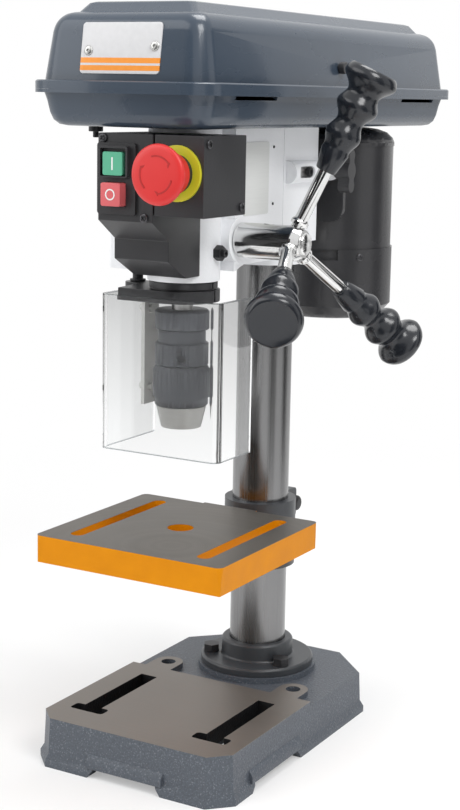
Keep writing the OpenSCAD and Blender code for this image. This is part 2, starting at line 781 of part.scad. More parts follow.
// Bent strip that carries the clear guard under the rod
module guard_hanger() color("silver") difference() {
    inner_x = -guard_w / 2 + guard_t;
    strip_y = [guard_left_back - hanger_w, guard_left_back];
    union() {
        block([inner_x, inner_x + hanger_t], strip_y, [notch_z - hanger_len, notch_z + hanger_t]);
        translate([0, 0, notch_z]) linear_extrude(hanger_t)
            round_rect([rod_x - 7, inner_x + hanger_t], [rod_y - 7, guard_left_back], 2);
    }
    for (z = guard_nut_places) x_bar(4 + 2 * fit, inner_x - 1, inner_x + hanger_t + 1, guard_nut_y, z);
}

// Screws with domed nuts that join the clear guard to its hanger
module guard_nuts() color("silver") for (z = guard_nut_places) {
    outer_x = -guard_w / 2;
    inner_x = outer_x + guard_t + hanger_t;
    x_bar(4, outer_x, inner_x, guard_nut_y, z);
    x_bar(7.4, inner_x, inner_x + 2.4, guard_nut_y, z);
    translate([outer_x, guard_nut_y, z]) rotate([0, -90, 0]) {
        hex_head(7, 2.6);
        translate([0, 0, 2.6]) intersection() {
            sphere(d = 6.6);
            cylinder(d = 7, h = 4);
        }
    }
}

// Clear sheet bent to a U, longer on the hinge side
module chuck_guard() color([0.8, 0.9, 0.95, 0.4]) difference() {
    half = guard_w / 2;
    corner = 7;
    translate([0, 0, guard_z]) linear_extrude(guard_h) {
        difference() {
            round_rect([-half, half], [guard_y, guard_right_back + 2 * corner], corner);
            round_rect([-half + guard_t, half - guard_t], [guard_y + guard_t, guard_right_back + 3 * corner],
                corner - guard_t);
            translate([-2 * half, guard_right_back]) square([4 * half, 4 * corner]);
        }
        translate([-half, guard_y + corner]) square([guard_t, guard_left_back - guard_y - corner]);
    }
    block([-half - 1, 0], [rod_y - 12, guard_left_back + 1], [notch_z, guard_top + 1]);
    for (z = guard_nut_places) x_bar(4 + 2 * fit, -half - 1, 0, guard_nut_y, z);
}

// Trapezoid gap of the rack, as a flat shape with the pitch line at zero
module rack_gap() {
    slack = 0.28 * gear_module;
    half = (rack_pitch / 2 + slack) / 2;
    depth = 1.25 * gear_module;
    rise = 2 * gear_module;
    polygon([
        [-depth, -half + depth * tan(20)], [-depth, half - depth * tan(20)],
        [rise, half + rise * tan(20)], [rise, -half - rise * tan(20)]
    ]);
}

// Quill with a rack cut in its back
module quill() color("silver") difference() {
    rows = ceil((quill_travel + 2 * rack_pitch) / rack_pitch);
    z_bar(quill_d, quill_z, quill_top, 0, spindle_y);
    z_bar(spindle_d + 4, quill_z - 1, quill_top + 1, 0, spindle_y);
    z_bar(quill_bearing_d, quill_z - 1, quill_z + quill_bearing_w + 1, 0, spindle_y);
    z_bar(quill_bearing_d, quill_top - quill_bearing_w - 1, quill_top + 1, 0, spindle_y);
    for (i = [-2:rows]) translate([0, spindle_y + rack_line, pinion_z + i * rack_pitch])
        along_x(-quill_d / 2, quill_d / 2) rack_gap();
}

module quill_bearings() color("gainsboro") for (z = [quill_z + 1, quill_top - quill_bearing_w - 1]) {
    translate([0, spindle_y, z]) bearing(spindle_d + 2 * fit, quill_bearing_d - 2 * fit, quill_bearing_w);
}

// Six key drive shape, as a flat shape
module drive_shape(grow) {
    circle(d = drive_d - 2.4 + 2 * grow);
    for (a = [0:60:300]) rotate(a) translate([0, -1.4 - grow]) square([drive_d / 2 + grow, 2.8 + 2 * grow]);
}

module spindle() color("silver") {
    shoulder_z = quill_top + 2;
    z_bar(spindle_d, chuck_top - 26, shoulder_z, 0, spindle_y);
    z_bar(spindle_d + 3, quill_z - 2, quill_z + 1 - gap, 0, spindle_y);
    translate([0, spindle_y, shoulder_z]) linear_extrude(spindle_top - shoulder_z) drive_shape(0);
}

// Places of the three jaws, tilted towards the mouth
module at_jaw(i) translate([0, spindle_y, 0]) rotate(i * 120 - 90) translate([jaw_foot_r, 0, jaw_z])
    rotate([0, jaw_slope, 0]) children();

module chuck_body() color("silver") difference() {
    body_r = chuck_body_d / 2;
    core_r = chuck_core_d / 2;
    translate([0, spindle_y, 0]) rotate_extrude() polygon([
        [0, chuck_z], [body_r - 4.8, chuck_z], [body_r - 1, nose_cone_z], [core_r, nose_cone_z],
        [core_r, sleeve_top + gap], [body_r - 0.8, sleeve_top + gap], [body_r, sleeve_top + 1.2],
        [body_r, body_groove_z - 0.8], [body_r - 0.8, body_groove_z], [body_r - 2.2, body_groove_z],
        [body_r - 2.2, body_ring_z], [body_r - 0.4, body_ring_z], [body_r + 0.4, body_ring_z + 0.8],
        [body_r + 0.4, chuck_top - 1.4], [body_r - 1, chuck_top], [0, chuck_top]
    ]);
    z_bar(spindle_d + 2 * fit, chuck_top - 26 - gap, chuck_top + 1, 0, spindle_y);
    z_bar(2 * jaw_foot_r, chuck_z - 1, chuck_z + 40, 0, spindle_y);
    for (i = [0:2]) {
        at_jaw(i) translate([0, 0, -10]) cylinder(d = jaw_d + 2 * fit, h = jaw_len + 11.5);
        translate([0, spindle_y, key_hole_z]) rotate([0, 90, i * 120 - 60]) translate([0, 0, body_r - 8])
            cylinder(d = 6.4, h = 10);
    }
}

// Sleeve with bevel teeth that drives the jaws
module chuck_sleeve() color("dimgray") difference() {
    sleeve_r = chuck_sleeve_d / 2;
    teeth = 32;
    bevel_w = 2;
    bevel_h = 3.4;
    band_z = sleeve_z + 6.7;
    translate([0, spindle_y, 0]) rotate_extrude() polygon([
        [chuck_core_d / 2 + fit, sleeve_z], [sleeve_r - 2.3, sleeve_z], [sleeve_r - 1.3, sleeve_z + 1],
        [sleeve_r - 1.3, band_z], [sleeve_r, band_z], [sleeve_r, sleeve_top - bevel_h], [sleeve_r - bevel_w, sleeve_top],
        [chuck_core_d / 2 + fit, sleeve_top]
    ]);
    for (i = [0:teeth - 1]) translate([0, spindle_y, sleeve_top]) rotate(i * 360 / teeth)
        translate([sleeve_r - bevel_w / 2, 0, -bevel_h / 2]) rotate([0, -atan(bevel_w / bevel_h), 0]) rotate(45)
            cube([1.4, 1.4, 9], center = true);
}

// Round jaw with a flat gripping nose
module chuck_jaw(i) color("darkgray") difference() {
    at_jaw(i) cylinder(d = jaw_d, h = jaw_len);
    translate([0, spindle_y, 0]) rotate(i * 120 - 90)
        block([-jaw_d, jaw_foot_r - jaw_d / 2 + 1], [-jaw_d, jaw_d], [jaw_z - jaw_d, jaw_z + jaw_len]);
}

module chuck_jaw_1() chuck_jaw(0);
module chuck_jaw_2() chuck_jaw(1);
module chuck_jaw_3() chuck_jaw(2);

// Gear outline of the feed pinion, one tooth facing the rack
module pinion_shape() {
    root = pinion_r - 1.15 * gear_module;
    thin = 0.14 * gear_module;
    half = rack_pitch / 4 - thin;
    circle(root);
    for (i = [0:pinion_teeth - 1]) rotate(180 + i * 360 / pinion_teeth) polygon([
        [root - 1, -half - 0.36 * gear_module], [root, -half - 0.36 * gear_module], [pinion_r, -half],
        [pinion_tip, -half + 0.3 * gear_module], [pinion_tip, half - 0.3 * gear_module], [pinion_r, half],
        [root, half + 0.36 * gear_module], [root - 1, half + 0.36 * gear_module]
    ]);
}

// Shaft that carries the pinion, the hub and the return spring
module pinion_shaft() color("silver") {
    face = sqrt(pow(quill_d / 2, 2) - pow(rack_line + pinion_r - journal_d / 2, 2)) + 1.1;
    x_bar(journal_d, -feed_boss_x, -face, pinion_y, pinion_z);
    x_bar(journal_d, face, feed_boss_x, pinion_y, pinion_z);
    translate([-face, pinion_y, pinion_z]) rotate([90, 0, 90]) linear_extrude(2 * face) pinion_shape();
    x_bar(hub_bore_d, feed_boss_x, spoke_x - 5, pinion_y, pinion_z);
    x_bar(hub_bore_d, spring_cap_x + 2.4, -feed_boss_x, pinion_y, pinion_z);
}

// Places of the three spokes, pointing outward
module at_spoke(i) translate([spoke_x, pinion_y, pinion_z]) rotate([spoke_turn - 90 - i * 120, 0, 0])
    rotate([0, spoke_tilt, 0]) children();

module feed_hub() color("silver") difference() {
    hub_r = hub_d / 2;
    translate([0, pinion_y, pinion_z]) rotate([0, 90, 0]) rotate_extrude() polygon([
        [0, hub_x], [hub_r - 0.8, hub_x], [hub_r, hub_x + 0.8], [hub_r, spoke_x + 5],
        [hub_r - 3, hub_end_x], [0, hub_end_x]
    ]);
    x_bar(hub_bore_d + 2 * fit, hub_x - 1, spoke_x - 5 + gap, pinion_y, pinion_z);
    for (i = [0:2]) at_spoke(i) translate([0, 0, spoke_root]) cylinder(d = spoke_d + 2 * fit, h = hub_d);
    z_bar(5, pinion_z, pinion_z + hub_d, hub_x + 22, pinion_y);
}

// Domed cap on the end of the hub
module hub_cap() color("silver") translate([hub_end_x, pinion_y, pinion_z]) rotate([0, 90, 0]) {
    cap_r = hub_d / 2 - 4.6;
    rotate_extrude() polygon([
        [0, 0], [cap_r, 0], [cap_r, 1.2], [cap_r - 1, 2.4], [cap_r * 0.5, 3.2], [0, 3.4]
    ]);
}

// Three spokes, each with a collar where it leaves the hub
module feed_spokes() color("silver") for (i = [0:2]) at_spoke(i) {
    translate([0, 0, spoke_root]) cylinder(d = spoke_d, h = spoke_len - grip_len * 0.55 - spoke_root);
    translate([0, 0, spoke_collar]) rotate_extrude() polygon([
        [0, 0], [spoke_d / 2 + 1.6, 0], [spoke_d / 2 + 1.6, 2.6], [spoke_d / 2, 5], [0, 5]
    ]);
}

// Turned grip that swells in rings towards its end
module feed_grip(i) color("black") at_spoke(i) {
    foot = spoke_len - grip_len;
    bulges = 2.5;
    steps = 14;
    foot_r = spoke_d / 2 + 2.6;
    sleeve_r = foot_r + 3;
    sleeve = 0.22 * grip_len;
    middle_r = 0.325 * grip_d;
    end_r = grip_d / 2;
    crown = 7;
    wave = [for (k = [0:bulges * steps]) let(
            t = k / (bulges * steps),
            swell = middle_r + (end_r - middle_r) * t * t,
            waist = pow(cos(180 * bulges * t), 2) * (3 + 3 * t))
        [swell - waist, foot + sleeve + t * (grip_len - crown - sleeve)]];
    difference() {
        rotate_extrude() polygon(concat(
            [[0, foot], [foot_r - 0.8, foot], [foot_r, foot + 0.8], [sleeve_r, foot + sleeve - 1.6]], wave,
            [[end_r - 0.4, spoke_len - 4.8], [end_r - 1.2, spoke_len - 2.6], [end_r - 2.3, spoke_len - 0.9],
             [end_r - 3.6, spoke_len], [end_r - 4.4, spoke_len - 0.7], [0, spoke_len - 0.5]]));
        translate([0, 0, foot - 1]) cylinder(d = spoke_d + 2 * fit, h = grip_len * 0.45 + 1 + gap);
    }
}

module feed_grip_1() feed_grip(0);
module feed_grip_2() feed_grip(1);
module feed_grip_3() feed_grip(2);

// Rounded rectangle as a ring of points, grown by o from the pan rim
function rim_ring(o, z, steps = 8) = let(
        half = pan_half + o,
        r = max(6, pan_corner + 0.6 * o))
    [for (c = [0:3], i = [0:steps]) let(
        a = 90 * c + 90 * i / steps,
        x = (c == 0 || c == 3) ? half - r : r - half,
        y = c < 2 ? pan_back_y + o - r : pan_front_y - o + r)
        [x + r * cos(a), y + r * sin(a), z]];

// Solid through a stack of rings, from the lowest to the highest
module loft(rings) {
    count = len(rings[0]);
    last = len(rings) - 1;
    sides = [for (j = [0:last - 1], i = [0:count - 1]) let(
            a = j * count + i,
            b = j * count + (i + 1) % count)
        each [[a, a + count, b + count], [a, b + count, b]]];
    polyhedron(
        points = [for (ring = rings) each ring],
        faces = concat(
            [[for (i = [0:count - 1]) i]],
            [[for (i = [count - 1:-1:0]) last * count + i]],
            sides));
}

// Rings of the pan: how far each stands in from the rim, and its height
function pan_rings(t) = [for (p = [[-14, 0], [-9, 1], [-5.5, 4], [-3.4, 9], [-1.6, 0.7 * pan_h]])
    rim_ring(p[0] - t, pan_z + p[1] + t)];

// Pressed pan that carries the belt cover
module belt_pan() color("slategray") difference() {
    shaft_hole = motor_shaft_d + 16;
    lip_inset = sheet_t + 0.6 + gap;
    union() {
        loft(concat(pan_rings(0), [rim_ring(0, rim_z - rim_t), rim_ring(0, rim_z)]));
        loft([rim_ring(rim_reach, rim_z - rim_t), rim_ring(rim_reach, rim_z)]);
        loft([rim_ring(-lip_inset, rim_z - rim_t), rim_ring(-lip_inset, rim_z + 2.5)]);
        for (y = hinge_places) {
            y_bar(knuckle_d, y - hinge_leaf / 6, y + hinge_leaf / 6, hinge_x, hinge_z);
            block([hinge_x, hinge_x + knuckle_d], [y - hinge_leaf / 6, y + hinge_leaf / 6], [rim_z - rim_t, rim_z]);
        }
    }
    loft(concat(pan_rings(sheet_t),
        [rim_ring(-lip_inset - 1.2, rim_z - rim_t), rim_ring(-lip_inset - 1.2, rim_z + 4)]));
    z_bar(pulley_bearing_d - 4, pan_z - 1, pan_z + pan_h, 0, spindle_y);
    translate([0, motor_y, pan_z - 1]) linear_extrude(pan_h)
        round_slot(shaft_hole, -motor_travel - shaft_hole / 2, shaft_hole / 2);
    for (p = pan_screw_places()) z_bar(5 + 2 * fit, pan_z - 1, rim_z, p[0], p[1]);
    for (y = hinge_places) y_bar(hinge_pin_d + 2 * fit, y - hinge_leaf, y + hinge_leaf, hinge_x, hinge_z);
    for (y = [[spindle_y - 47, spindle_y + 12], [motor_y - 13, motor_y + 52]])
        block([pan_half - 12, pan_half + 4], y, [rim_z - rim_t - 2.8, rim_z - rim_t - 0.2]);
}

module pan_screws() color("silver") for (p = pan_screw_places()) translate([p[0], p[1], 0]) {
    z_bar(5, column_top + 1, pan_z + sheet_t);
    translate([0, 0, pan_z + sheet_t]) socket_head(8.5, 5);
}

// Rings of the cover above its rim
function cover_rings(t) = concat(
    [for (p = [[-0.6, 6.8], [-5.5, cover_h - 13], [-8, cover_h - 6.5], [-12.5, cover_h - 2]])
        rim_ring(p[0] - t, rim_z + p[1] - (p[1] > 7 ? t : 0))],
    [for (p = [[-18, 0], [-21, 0.4], [-26, crown_h - 1], [-29, crown_h]])
        rim_ring(p[0] - t, cover_top + p[1] - t)]);

// Pressed cover with a raised panel, hinged on the left
module belt_cover() color("slategray") difference() {
    lip_z = rim_z + 6.2;
    union() {
        loft(concat([rim_ring(-0.6, cover_z)], cover_rings(0)));
        loft([rim_ring(rim_reach, cover_z), rim_ring(rim_reach, lip_z - 1), rim_ring(rim_reach - 1, lip_z)]);
        for (y = hinge_places, s = [-1, 1]) {
            reach = [y + s * hinge_leaf / 3 - hinge_leaf / 6 + gap, y + s * hinge_leaf / 3 + hinge_leaf / 6 - gap];
            y_bar(knuckle_d, reach[0], reach[1], hinge_x, hinge_z);
            block([hinge_x, hinge_x + knuckle_d], reach, [cover_z, cover_z + 3]);
        }
    }
    loft(concat([rim_ring(-0.6 - sheet_t, cover_z - 1)], cover_rings(sheet_t)));
    for (y = hinge_places) {
        y_bar(hinge_pin_d + 2 * fit, y - hinge_leaf, y + hinge_leaf, hinge_x, hinge_z);
        block([hinge_x - knuckle_d, hinge_x + knuckle_d + gap],
            [y - hinge_leaf / 6 - gap, y + hinge_leaf / 6 + gap], [rim_z - knuckle_d, cover_z + knuckle_d / 2 + gap]);
    }
    x_bar(5 + 2 * fit, pan_half - 20, pan_half + 10, latch_y, latch_z);
}

module cover_hinges() color("silver") for (y = hinge_places) {
    y_bar(hinge_pin_d, y - hinge_leaf / 2, y + hinge_leaf / 2, hinge_x, hinge_z);
}

// Knurled screw that locks the cover shut
module cover_latch() color("black") {
    wall_x = pan_half - 1.7;
    x_bar(5, wall_x - 12, wall_x + 1, latch_y, latch_z);
    x_bar(latch_d, wall_x + gap, wall_x + 5, latch_y, latch_z);
}

// One step pulley; order 1 grows downward and order -1 grows upward
module step_pulley(order) {
    function radius(i) = pulley_r(order > 0 ? pulley_steps - 1 - i : i);
    slope = groove_depth * tan(17);
    steps = [for (i = [0:pulley_steps - 1]) let(
            rim = radius(i) + pulley_rim,
            z = i * pulley_step_h,
            wall = (pulley_step_h - groove_w) / 2)
        each [[rim, z], [rim, z + wall], [rim - groove_depth, z + wall + slope],
              [rim - groove_depth, z + pulley_step_h - wall - slope], [rim, z + pulley_step_h - wall],
              [rim, z + pulley_step_h]]];
    rotate_extrude() polygon(concat([[0, 0]], steps, [[0, pulley_steps * pulley_step_h]]));
}

module spindle_pulley() color("lightgray") translate([0, spindle_y, 0]) difference() {
    union() {
        translate([0, 0, pulley_z]) step_pulley(1);
        z_bar(pulley_sleeve_d, head_top - 2 * pulley_bearing_w, pulley_z);
        z_bar(pulley_sleeve_d + 6, head_top + gap, pulley_z);
    }
    translate([0, 0, head_top - 3 * pulley_bearing_w]) linear_extrude(spindle_top - head_top + 60)
        drive_shape(2 * fit);
}

module motor_pulley() color("lightgray") translate([0, motor_y, 0]) difference() {
    translate([0, 0, pulley_z]) step_pulley(-1);
    z_bar(motor_shaft_d + 2 * fit, pulley_z - 1, pulley_z + pulley_steps * pulley_step_h + 1);
}

// Section of the belt with its back at radius r
module belt_section(r) {
    slope = belt_t * tan(17);
    polygon([
        [r, -belt_w / 2], [r, belt_w / 2], [r - belt_t, belt_w / 2 - slope], [r - belt_t, -belt_w / 2 + slope]
    ]);
}

// Wedge belt on the middle step of both pulleys
module drive_belt() color("black") {
    back_r = pulley_r(belt_step) + pulley_rim - 0.6;
    translate([0, motor_y, belt_z]) rotate_extrude(angle = 180) belt_section(back_r);
    translate([0, spindle_y, belt_z]) rotate([0, 0, 180]) rotate_extrude(angle = 180) belt_section(back_r);
    for (s = [0, 1]) translate([0, 0, belt_z]) mirror([s, 0, 0]) along_y(spindle_y, motor_y)
        belt_section(back_r);
}

module motor_body() color("dimgray") difference() {
    foot_x = slide_pitch / 2 - 11;
    union() {
        z_bar(motor_d, fan_cover_top, motor_seam_z, 0, motor_y);
        block([-foot_x, foot_x], [plate_y + plate_t, motor_y], [slide_z - 30, slide_z + 14]);
    }
    z_bar(motor_shaft_d + 2 * fit, motor_z, motor_top + 1, 0, motor_y);
}

// Domed top of the motor
module motor_dome() color("dimgray") difference() {
    r = motor_d / 2;
    rise = motor_top - motor_seam_z;
    translate([0, motor_y, motor_seam_z]) rotate_extrude() polygon([
        [0, 0], [r + 0.6, 0], [r + 0.6, 3], [r - 1, rise * 0.45], [r - 6, rise * 0.75], [r - 14, rise * 0.93],
        [r - 22, rise], [0, rise]
    ]);
    z_bar(motor_shaft_d + 2 * fit, motor_z, motor_top + 1, 0, motor_y);
}

// Cup over the motor fan, with air slots in its floor
module fan_cover() color("dimgray") difference() {
    r = motor_d / 2;
    wall = 2.5;
    h = fan_cover_top - motor_z;
    translate([0, motor_y, motor_z]) rotate_extrude() difference() {
        polygon([[0, 0], [r - 10, 0], [r - 7, 1], [r + 1.4, 10.5], [r + 1.4, h], [0, h]]);
        polygon([[-1, wall], [r - 12, wall], [r - wall, 13], [r - wall, h - 12], [-1, h - 12]]);
    }
    for (a = [0:30:330]) translate([0, motor_y, motor_z - 1]) rotate(a)
        linear_extrude(wall + 2) round_slot(4, r * 0.35, r * 0.72);
    translate([0, motor_y, fan_cover_top - 9]) rotate(225) rotate_extrude(angle = 79)
        translate([r - wall, 0]) square([wall + 3, 10]);
}

module motor_shaft() color("silver") z_bar(
    motor_shaft_d, fan_cover_top + 1, pulley_z + pulley_steps * pulley_step_h, 0, motor_y);

// Plate between the motor and its slide rods
module motor_plate() color("black") difference() {
    along_y(plate_y, plate_y + plate_t) round_rect([-plate_w / 2, plate_w / 2], [plate_z, plate_top], 12);
    for (s = [-1, 1]) y_bar(slide_d + 2 * fit, plate_y - 1, plate_y + plate_t + 1, s * slide_pitch / 2, slide_z);
}

// Two rods that slide in the head, with nuts behind the plate
module slide_rods() color("silver") difference() {
    for (s = [-1, 1]) {
        y_bar(slide_d, slide_boss_front + 5 + motor_travel + gap, plate_y + plate_t, s * slide_pitch / 2, slide_z);
        translate([s * slide_pitch / 2, plate_y + plate_t, slide_z]) rotate([-90, 0, 0]) hex_head(slide_d + 5, 6);
    }
    x_bar(5 + 2 * fit, slide_pitch / 2, slide_pitch, slide_screw_y, slide_z);
}

// Screw in the slide slot that stops the motor carriage
module slide_screw() color("dimgray") {
    slot_x = slide_pitch / 2 + slide_d / 2;
    x_bar(5, slide_pitch / 2, slot_x + 1, slide_screw_y, slide_z);
    translate([slot_x + gap, slide_screw_y, slide_z]) rotate([0, 90, 0]) socket_head(7.4, 3);
}

// Wing knob that locks the motor slide
module tension_knob() color("black") {
    boss_x = slide_pitch / 2 + slide_boss_d / 2;
    x_bar(6, slide_pitch / 2 + slide_d / 2 + gap, boss_x + 4, knob_screw_y, slide_z);
    x_bar(13, boss_x + gap, boss_x + 5, knob_screw_y, slide_z);
    translate([0, knob_screw_y, slide_z]) along_x(boss_x + 4, boss_x + 14) {
        circle(d = 15);
        for (s = [-1, 1]) translate([0, s * 12]) circle(d = 11);
        square([9, 24], center = true);
    }
}

// Side profile of the switch housing, drawn in by t
module housing_profile(t) polygon([
    [housing_y + t, housing_top - t], [housing_y + t, housing_top - housing_h + t * 0.4],
    [step_y + t, step_top + t * 0.4], [step_y + t, step_low + t * 0.4], [heel_y + t * 0.4, heel_z + t],
    [spindle_y - 4, heel_z + t], [spindle_y - 4, housing_top - t]
]);

// Moulded housing in front of the nose
module switch_housing() color("black") difference() {
    along_x(-housing_half, housing_half) housing_profile(0);
    difference() {
        along_x(-housing_half + housing_wall, housing_half - housing_wall) housing_profile(housing_wall);
        z_bar(nose_d + 8, heel_z, housing_top, 0, spindle_y);
    }
    z_bar(nose_d + 2 * fit, heel_z - 1, housing_top + 1, 0, spindle_y);
    for (z = [start_z, stop_button_z]) button_hole(z, housing_y - 1, housing_y + housing_wall + 1);
}

// Square opening for a push button
module button_hole(z, y0, y1) {
    half = button_w / 2 + gap;
    block([button_x - half, button_x + half], [y0, y1], [z - half, z + half]);
}

// Front plate with a raised frame round the start button
module switch_panel() color("black") difference() {
    front = housing_y - panel_t;
    panel_x = [-housing_half + 0.6, button_x + 16];
    panel_z = [stop_button_z - 14, start_z + 14];
    half = button_w / 2;
    frame = half + 4;
    recess = half + 2.4;
    union() {
        along_y(front, housing_y) round_rect(panel_x, panel_z, 2);
        along_y(front - 4, front)
            round_rect([button_x - frame, button_x + frame], [start_z - frame + 2.5, start_z + frame], 2);
    }
    along_y(front - 5, front)
        round_rect([button_x - recess, button_x + recess], [start_z - half - 0.6, start_z + recess], 1);
    for (z = [start_z, stop_button_z]) button_hole(z, front - 6, housing_y + 1);
}

// Push button that slides in the panel
module push_button(z, reach) {
    half = button_w / 2;
    face_y = housing_y - panel_t - reach;
    collar = half + 1.6;
    collar_y = housing_y + housing_wall + gap;
    along_y(face_y, collar_y + 1) round_rect([button_x - half, button_x + half], [z - half, z + half], 1.5);
    along_y(collar_y, collar_y + 4)
        round_rect([button_x - collar, button_x + collar], [z - collar, z + collar], 1);
}

module start_button() color("limegreen") push_button(start_z, 4.5);
module stop_button() color("red") push_button(stop_button_z, 7);

// Box beside the housing that carries the mushroom head
module stop_box() color("black") difference() {
    wall = 2.5;
    box_x = [housing_half, housing_half + stop_box_w];
    box_y = [housing_y, housing_y + stop_box_depth];
    block(box_x, box_y, [stop_box_z, housing_top]);
    block([box_x[0] + wall, box_x[1] + 1], [box_y[0] + wall, box_y[1] - wall], [stop_box_z + wall, housing_top - wall]);
    y_bar(stop_neck_d + 2 * fit, housing_y - 1, housing_y + wall + 1, stop_x, stop_z);
    block([box_x[0] - 1, box_x[0] + 1.3], [housing_y - 1, housing_y + 6], [stop_box_z - 1, housing_top + 1]);
    z_bar(nose_d + 2 * fit, stop_box_z - 1, housing_top + 1, 0, spindle_y);
}

module stop_box_cover() color("black") difference() {
    cover_x = housing_half + stop_box_w;
    cover_y = [housing_y, housing_y + stop_box_depth];
    along_x(cover_x, cover_x + 2.2) round_rect(cover_y, [stop_box_z, housing_top], 1);
    for (p = stop_screw_places) x_bar(3 + 2 * fit, cover_x - 1, cover_x + 4, p[0], p[1]);
}

// Ring on the stop box, with a collar that runs up inside the mushroom head
module stop_ring() color("yellow") difference() {
    union() {
        y_bar(mushroom_d - 3, housing_y - stop_ring_t, housing_y, stop_x, stop_z);
        y_bar(2 * mushroom_bore - 0.6, housing_y - mushroom_lift + 0.4, housing_y, stop_x, stop_z);
    }
    y_bar(stop_neck_d + 2 * fit, housing_y - 2 * mushroom_lift, housing_y + 1, stop_x, stop_z);
}

// Mushroom head that pushes in along its neck
module stop_mushroom() color("red") translate([stop_x, housing_y, stop_z]) rotate([90, 0, 0]) rotate_extrude() {
    head = mushroom_d / 2;
    neck = stop_neck_d / 2;
    lift = mushroom_lift;
    bore_end = lift + mushroom_travel + 1;
    polygon([
        [0, -12], [neck, -12], [neck, bore_end], [mushroom_bore, bore_end], [mushroom_bore, lift],
        [mushroom_barrel, lift], [mushroom_barrel, lift + 11], [head - 1.5, lift + 14], [head, lift + 15.5],
        [head, lift + 17], [head - 1.2, lift + 18.2], [head - 3.5, lift + 18.9], [0, lift + 19.4]
    ]);
}

// Small screws of the side cover and of the front plate
module housing_screws() color("silver") {
    cover_x = housing_half + stop_box_w;
    for (p = stop_screw_places) {
        x_bar(3, cover_x - 4, cover_x + 2.2, p[0], p[1]);
        x_bar(5.6, cover_x + 2.2, cover_x + 3.8, p[0], p[1]);
    }
    for (p = [[-housing_half + 4.6, housing_top - 3.4], [housing_half - 6.6, housing_top - housing_h + 3]]) {
        y_bar(5, housing_y - 1.4, housing_y, p[0], p[1]);
    }
}

base();
column_flange();
flange_bolts();
column();
table_bracket();
table_clamp();
clamp_nut();
table();
tilt_bolt();
head_casting();
pulley_bearings();
gib_screw();
spring_cap();
return_spring();
guard_bracket();
guard_switch_box();
guard_rod();
guard_hanger();
guard_nuts();
chuck_guard();
quill();
quill_bearings();
spindle();
chuck_body();
chuck_sleeve();
chuck_jaw_1();
chuck_jaw_2();
chuck_jaw_3();
pinion_shaft();
feed_hub();
hub_cap();
feed_spokes();
feed_grip_1();
feed_grip_2();
feed_grip_3();
belt_pan();
pan_screws();
belt_cover();
cover_hinges();
cover_latch();
spindle_pulley();
motor_pulley();
drive_belt();
motor_body();
motor_dome();
fan_cover();
motor_shaft();
motor_plate();
slide_rods();
slide_screw();
tension_knob();
switch_housing();
switch_panel();
start_button();
stop_button();
stop_box();
stop_box_cover();
stop_ring();
stop_mushroom();
housing_screws();
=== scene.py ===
import json
import math

import bpy
from mathutils import Matrix, Vector

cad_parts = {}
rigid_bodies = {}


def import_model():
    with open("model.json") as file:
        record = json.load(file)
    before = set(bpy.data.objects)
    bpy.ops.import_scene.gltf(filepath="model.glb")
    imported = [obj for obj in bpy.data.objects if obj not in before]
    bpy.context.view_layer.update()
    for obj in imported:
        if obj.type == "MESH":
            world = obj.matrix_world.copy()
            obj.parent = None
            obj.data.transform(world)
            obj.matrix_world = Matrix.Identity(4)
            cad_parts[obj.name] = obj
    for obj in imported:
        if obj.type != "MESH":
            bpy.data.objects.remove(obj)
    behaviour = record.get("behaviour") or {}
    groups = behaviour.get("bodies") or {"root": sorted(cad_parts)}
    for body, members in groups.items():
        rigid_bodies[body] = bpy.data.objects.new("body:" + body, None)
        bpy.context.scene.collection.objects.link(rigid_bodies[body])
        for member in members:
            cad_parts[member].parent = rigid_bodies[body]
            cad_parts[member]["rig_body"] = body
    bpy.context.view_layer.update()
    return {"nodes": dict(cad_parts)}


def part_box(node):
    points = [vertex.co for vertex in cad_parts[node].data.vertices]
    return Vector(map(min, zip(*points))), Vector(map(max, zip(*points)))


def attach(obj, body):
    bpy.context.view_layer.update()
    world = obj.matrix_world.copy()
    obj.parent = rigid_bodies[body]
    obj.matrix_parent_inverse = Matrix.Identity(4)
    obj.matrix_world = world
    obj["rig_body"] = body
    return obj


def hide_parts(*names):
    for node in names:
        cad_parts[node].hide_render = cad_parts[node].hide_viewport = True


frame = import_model()
nodes = frame["nodes"]
print("frame loaded,", len(nodes), "solids")


class Wire:  # a socket in a paint's tree; sums and products add their Math nodes
    def __init__(self, paint, socket):
        self.paint = paint
        self.socket = socket

    def math(self, operation, other, turned=False):
        pair = (other, self) if turned else (self, other)
        return self.paint.add("Math", {"operation": operation}, {0: pair[0], 1: pair[1]})

    def __add__(self, other):
        return self.math("ADD", other)

    def __rsub__(self, other):
        return self.math("SUBTRACT", other, True)

    def __mul__(self, other):
        return self.math("MULTIPLY", other)

    def above(self, level):
        return self.math("GREATER_THAN", level)

    def below(self, level):
        return self.math("LESS_THAN", level)

    __radd__ = __add__
    __rmul__ = __mul__


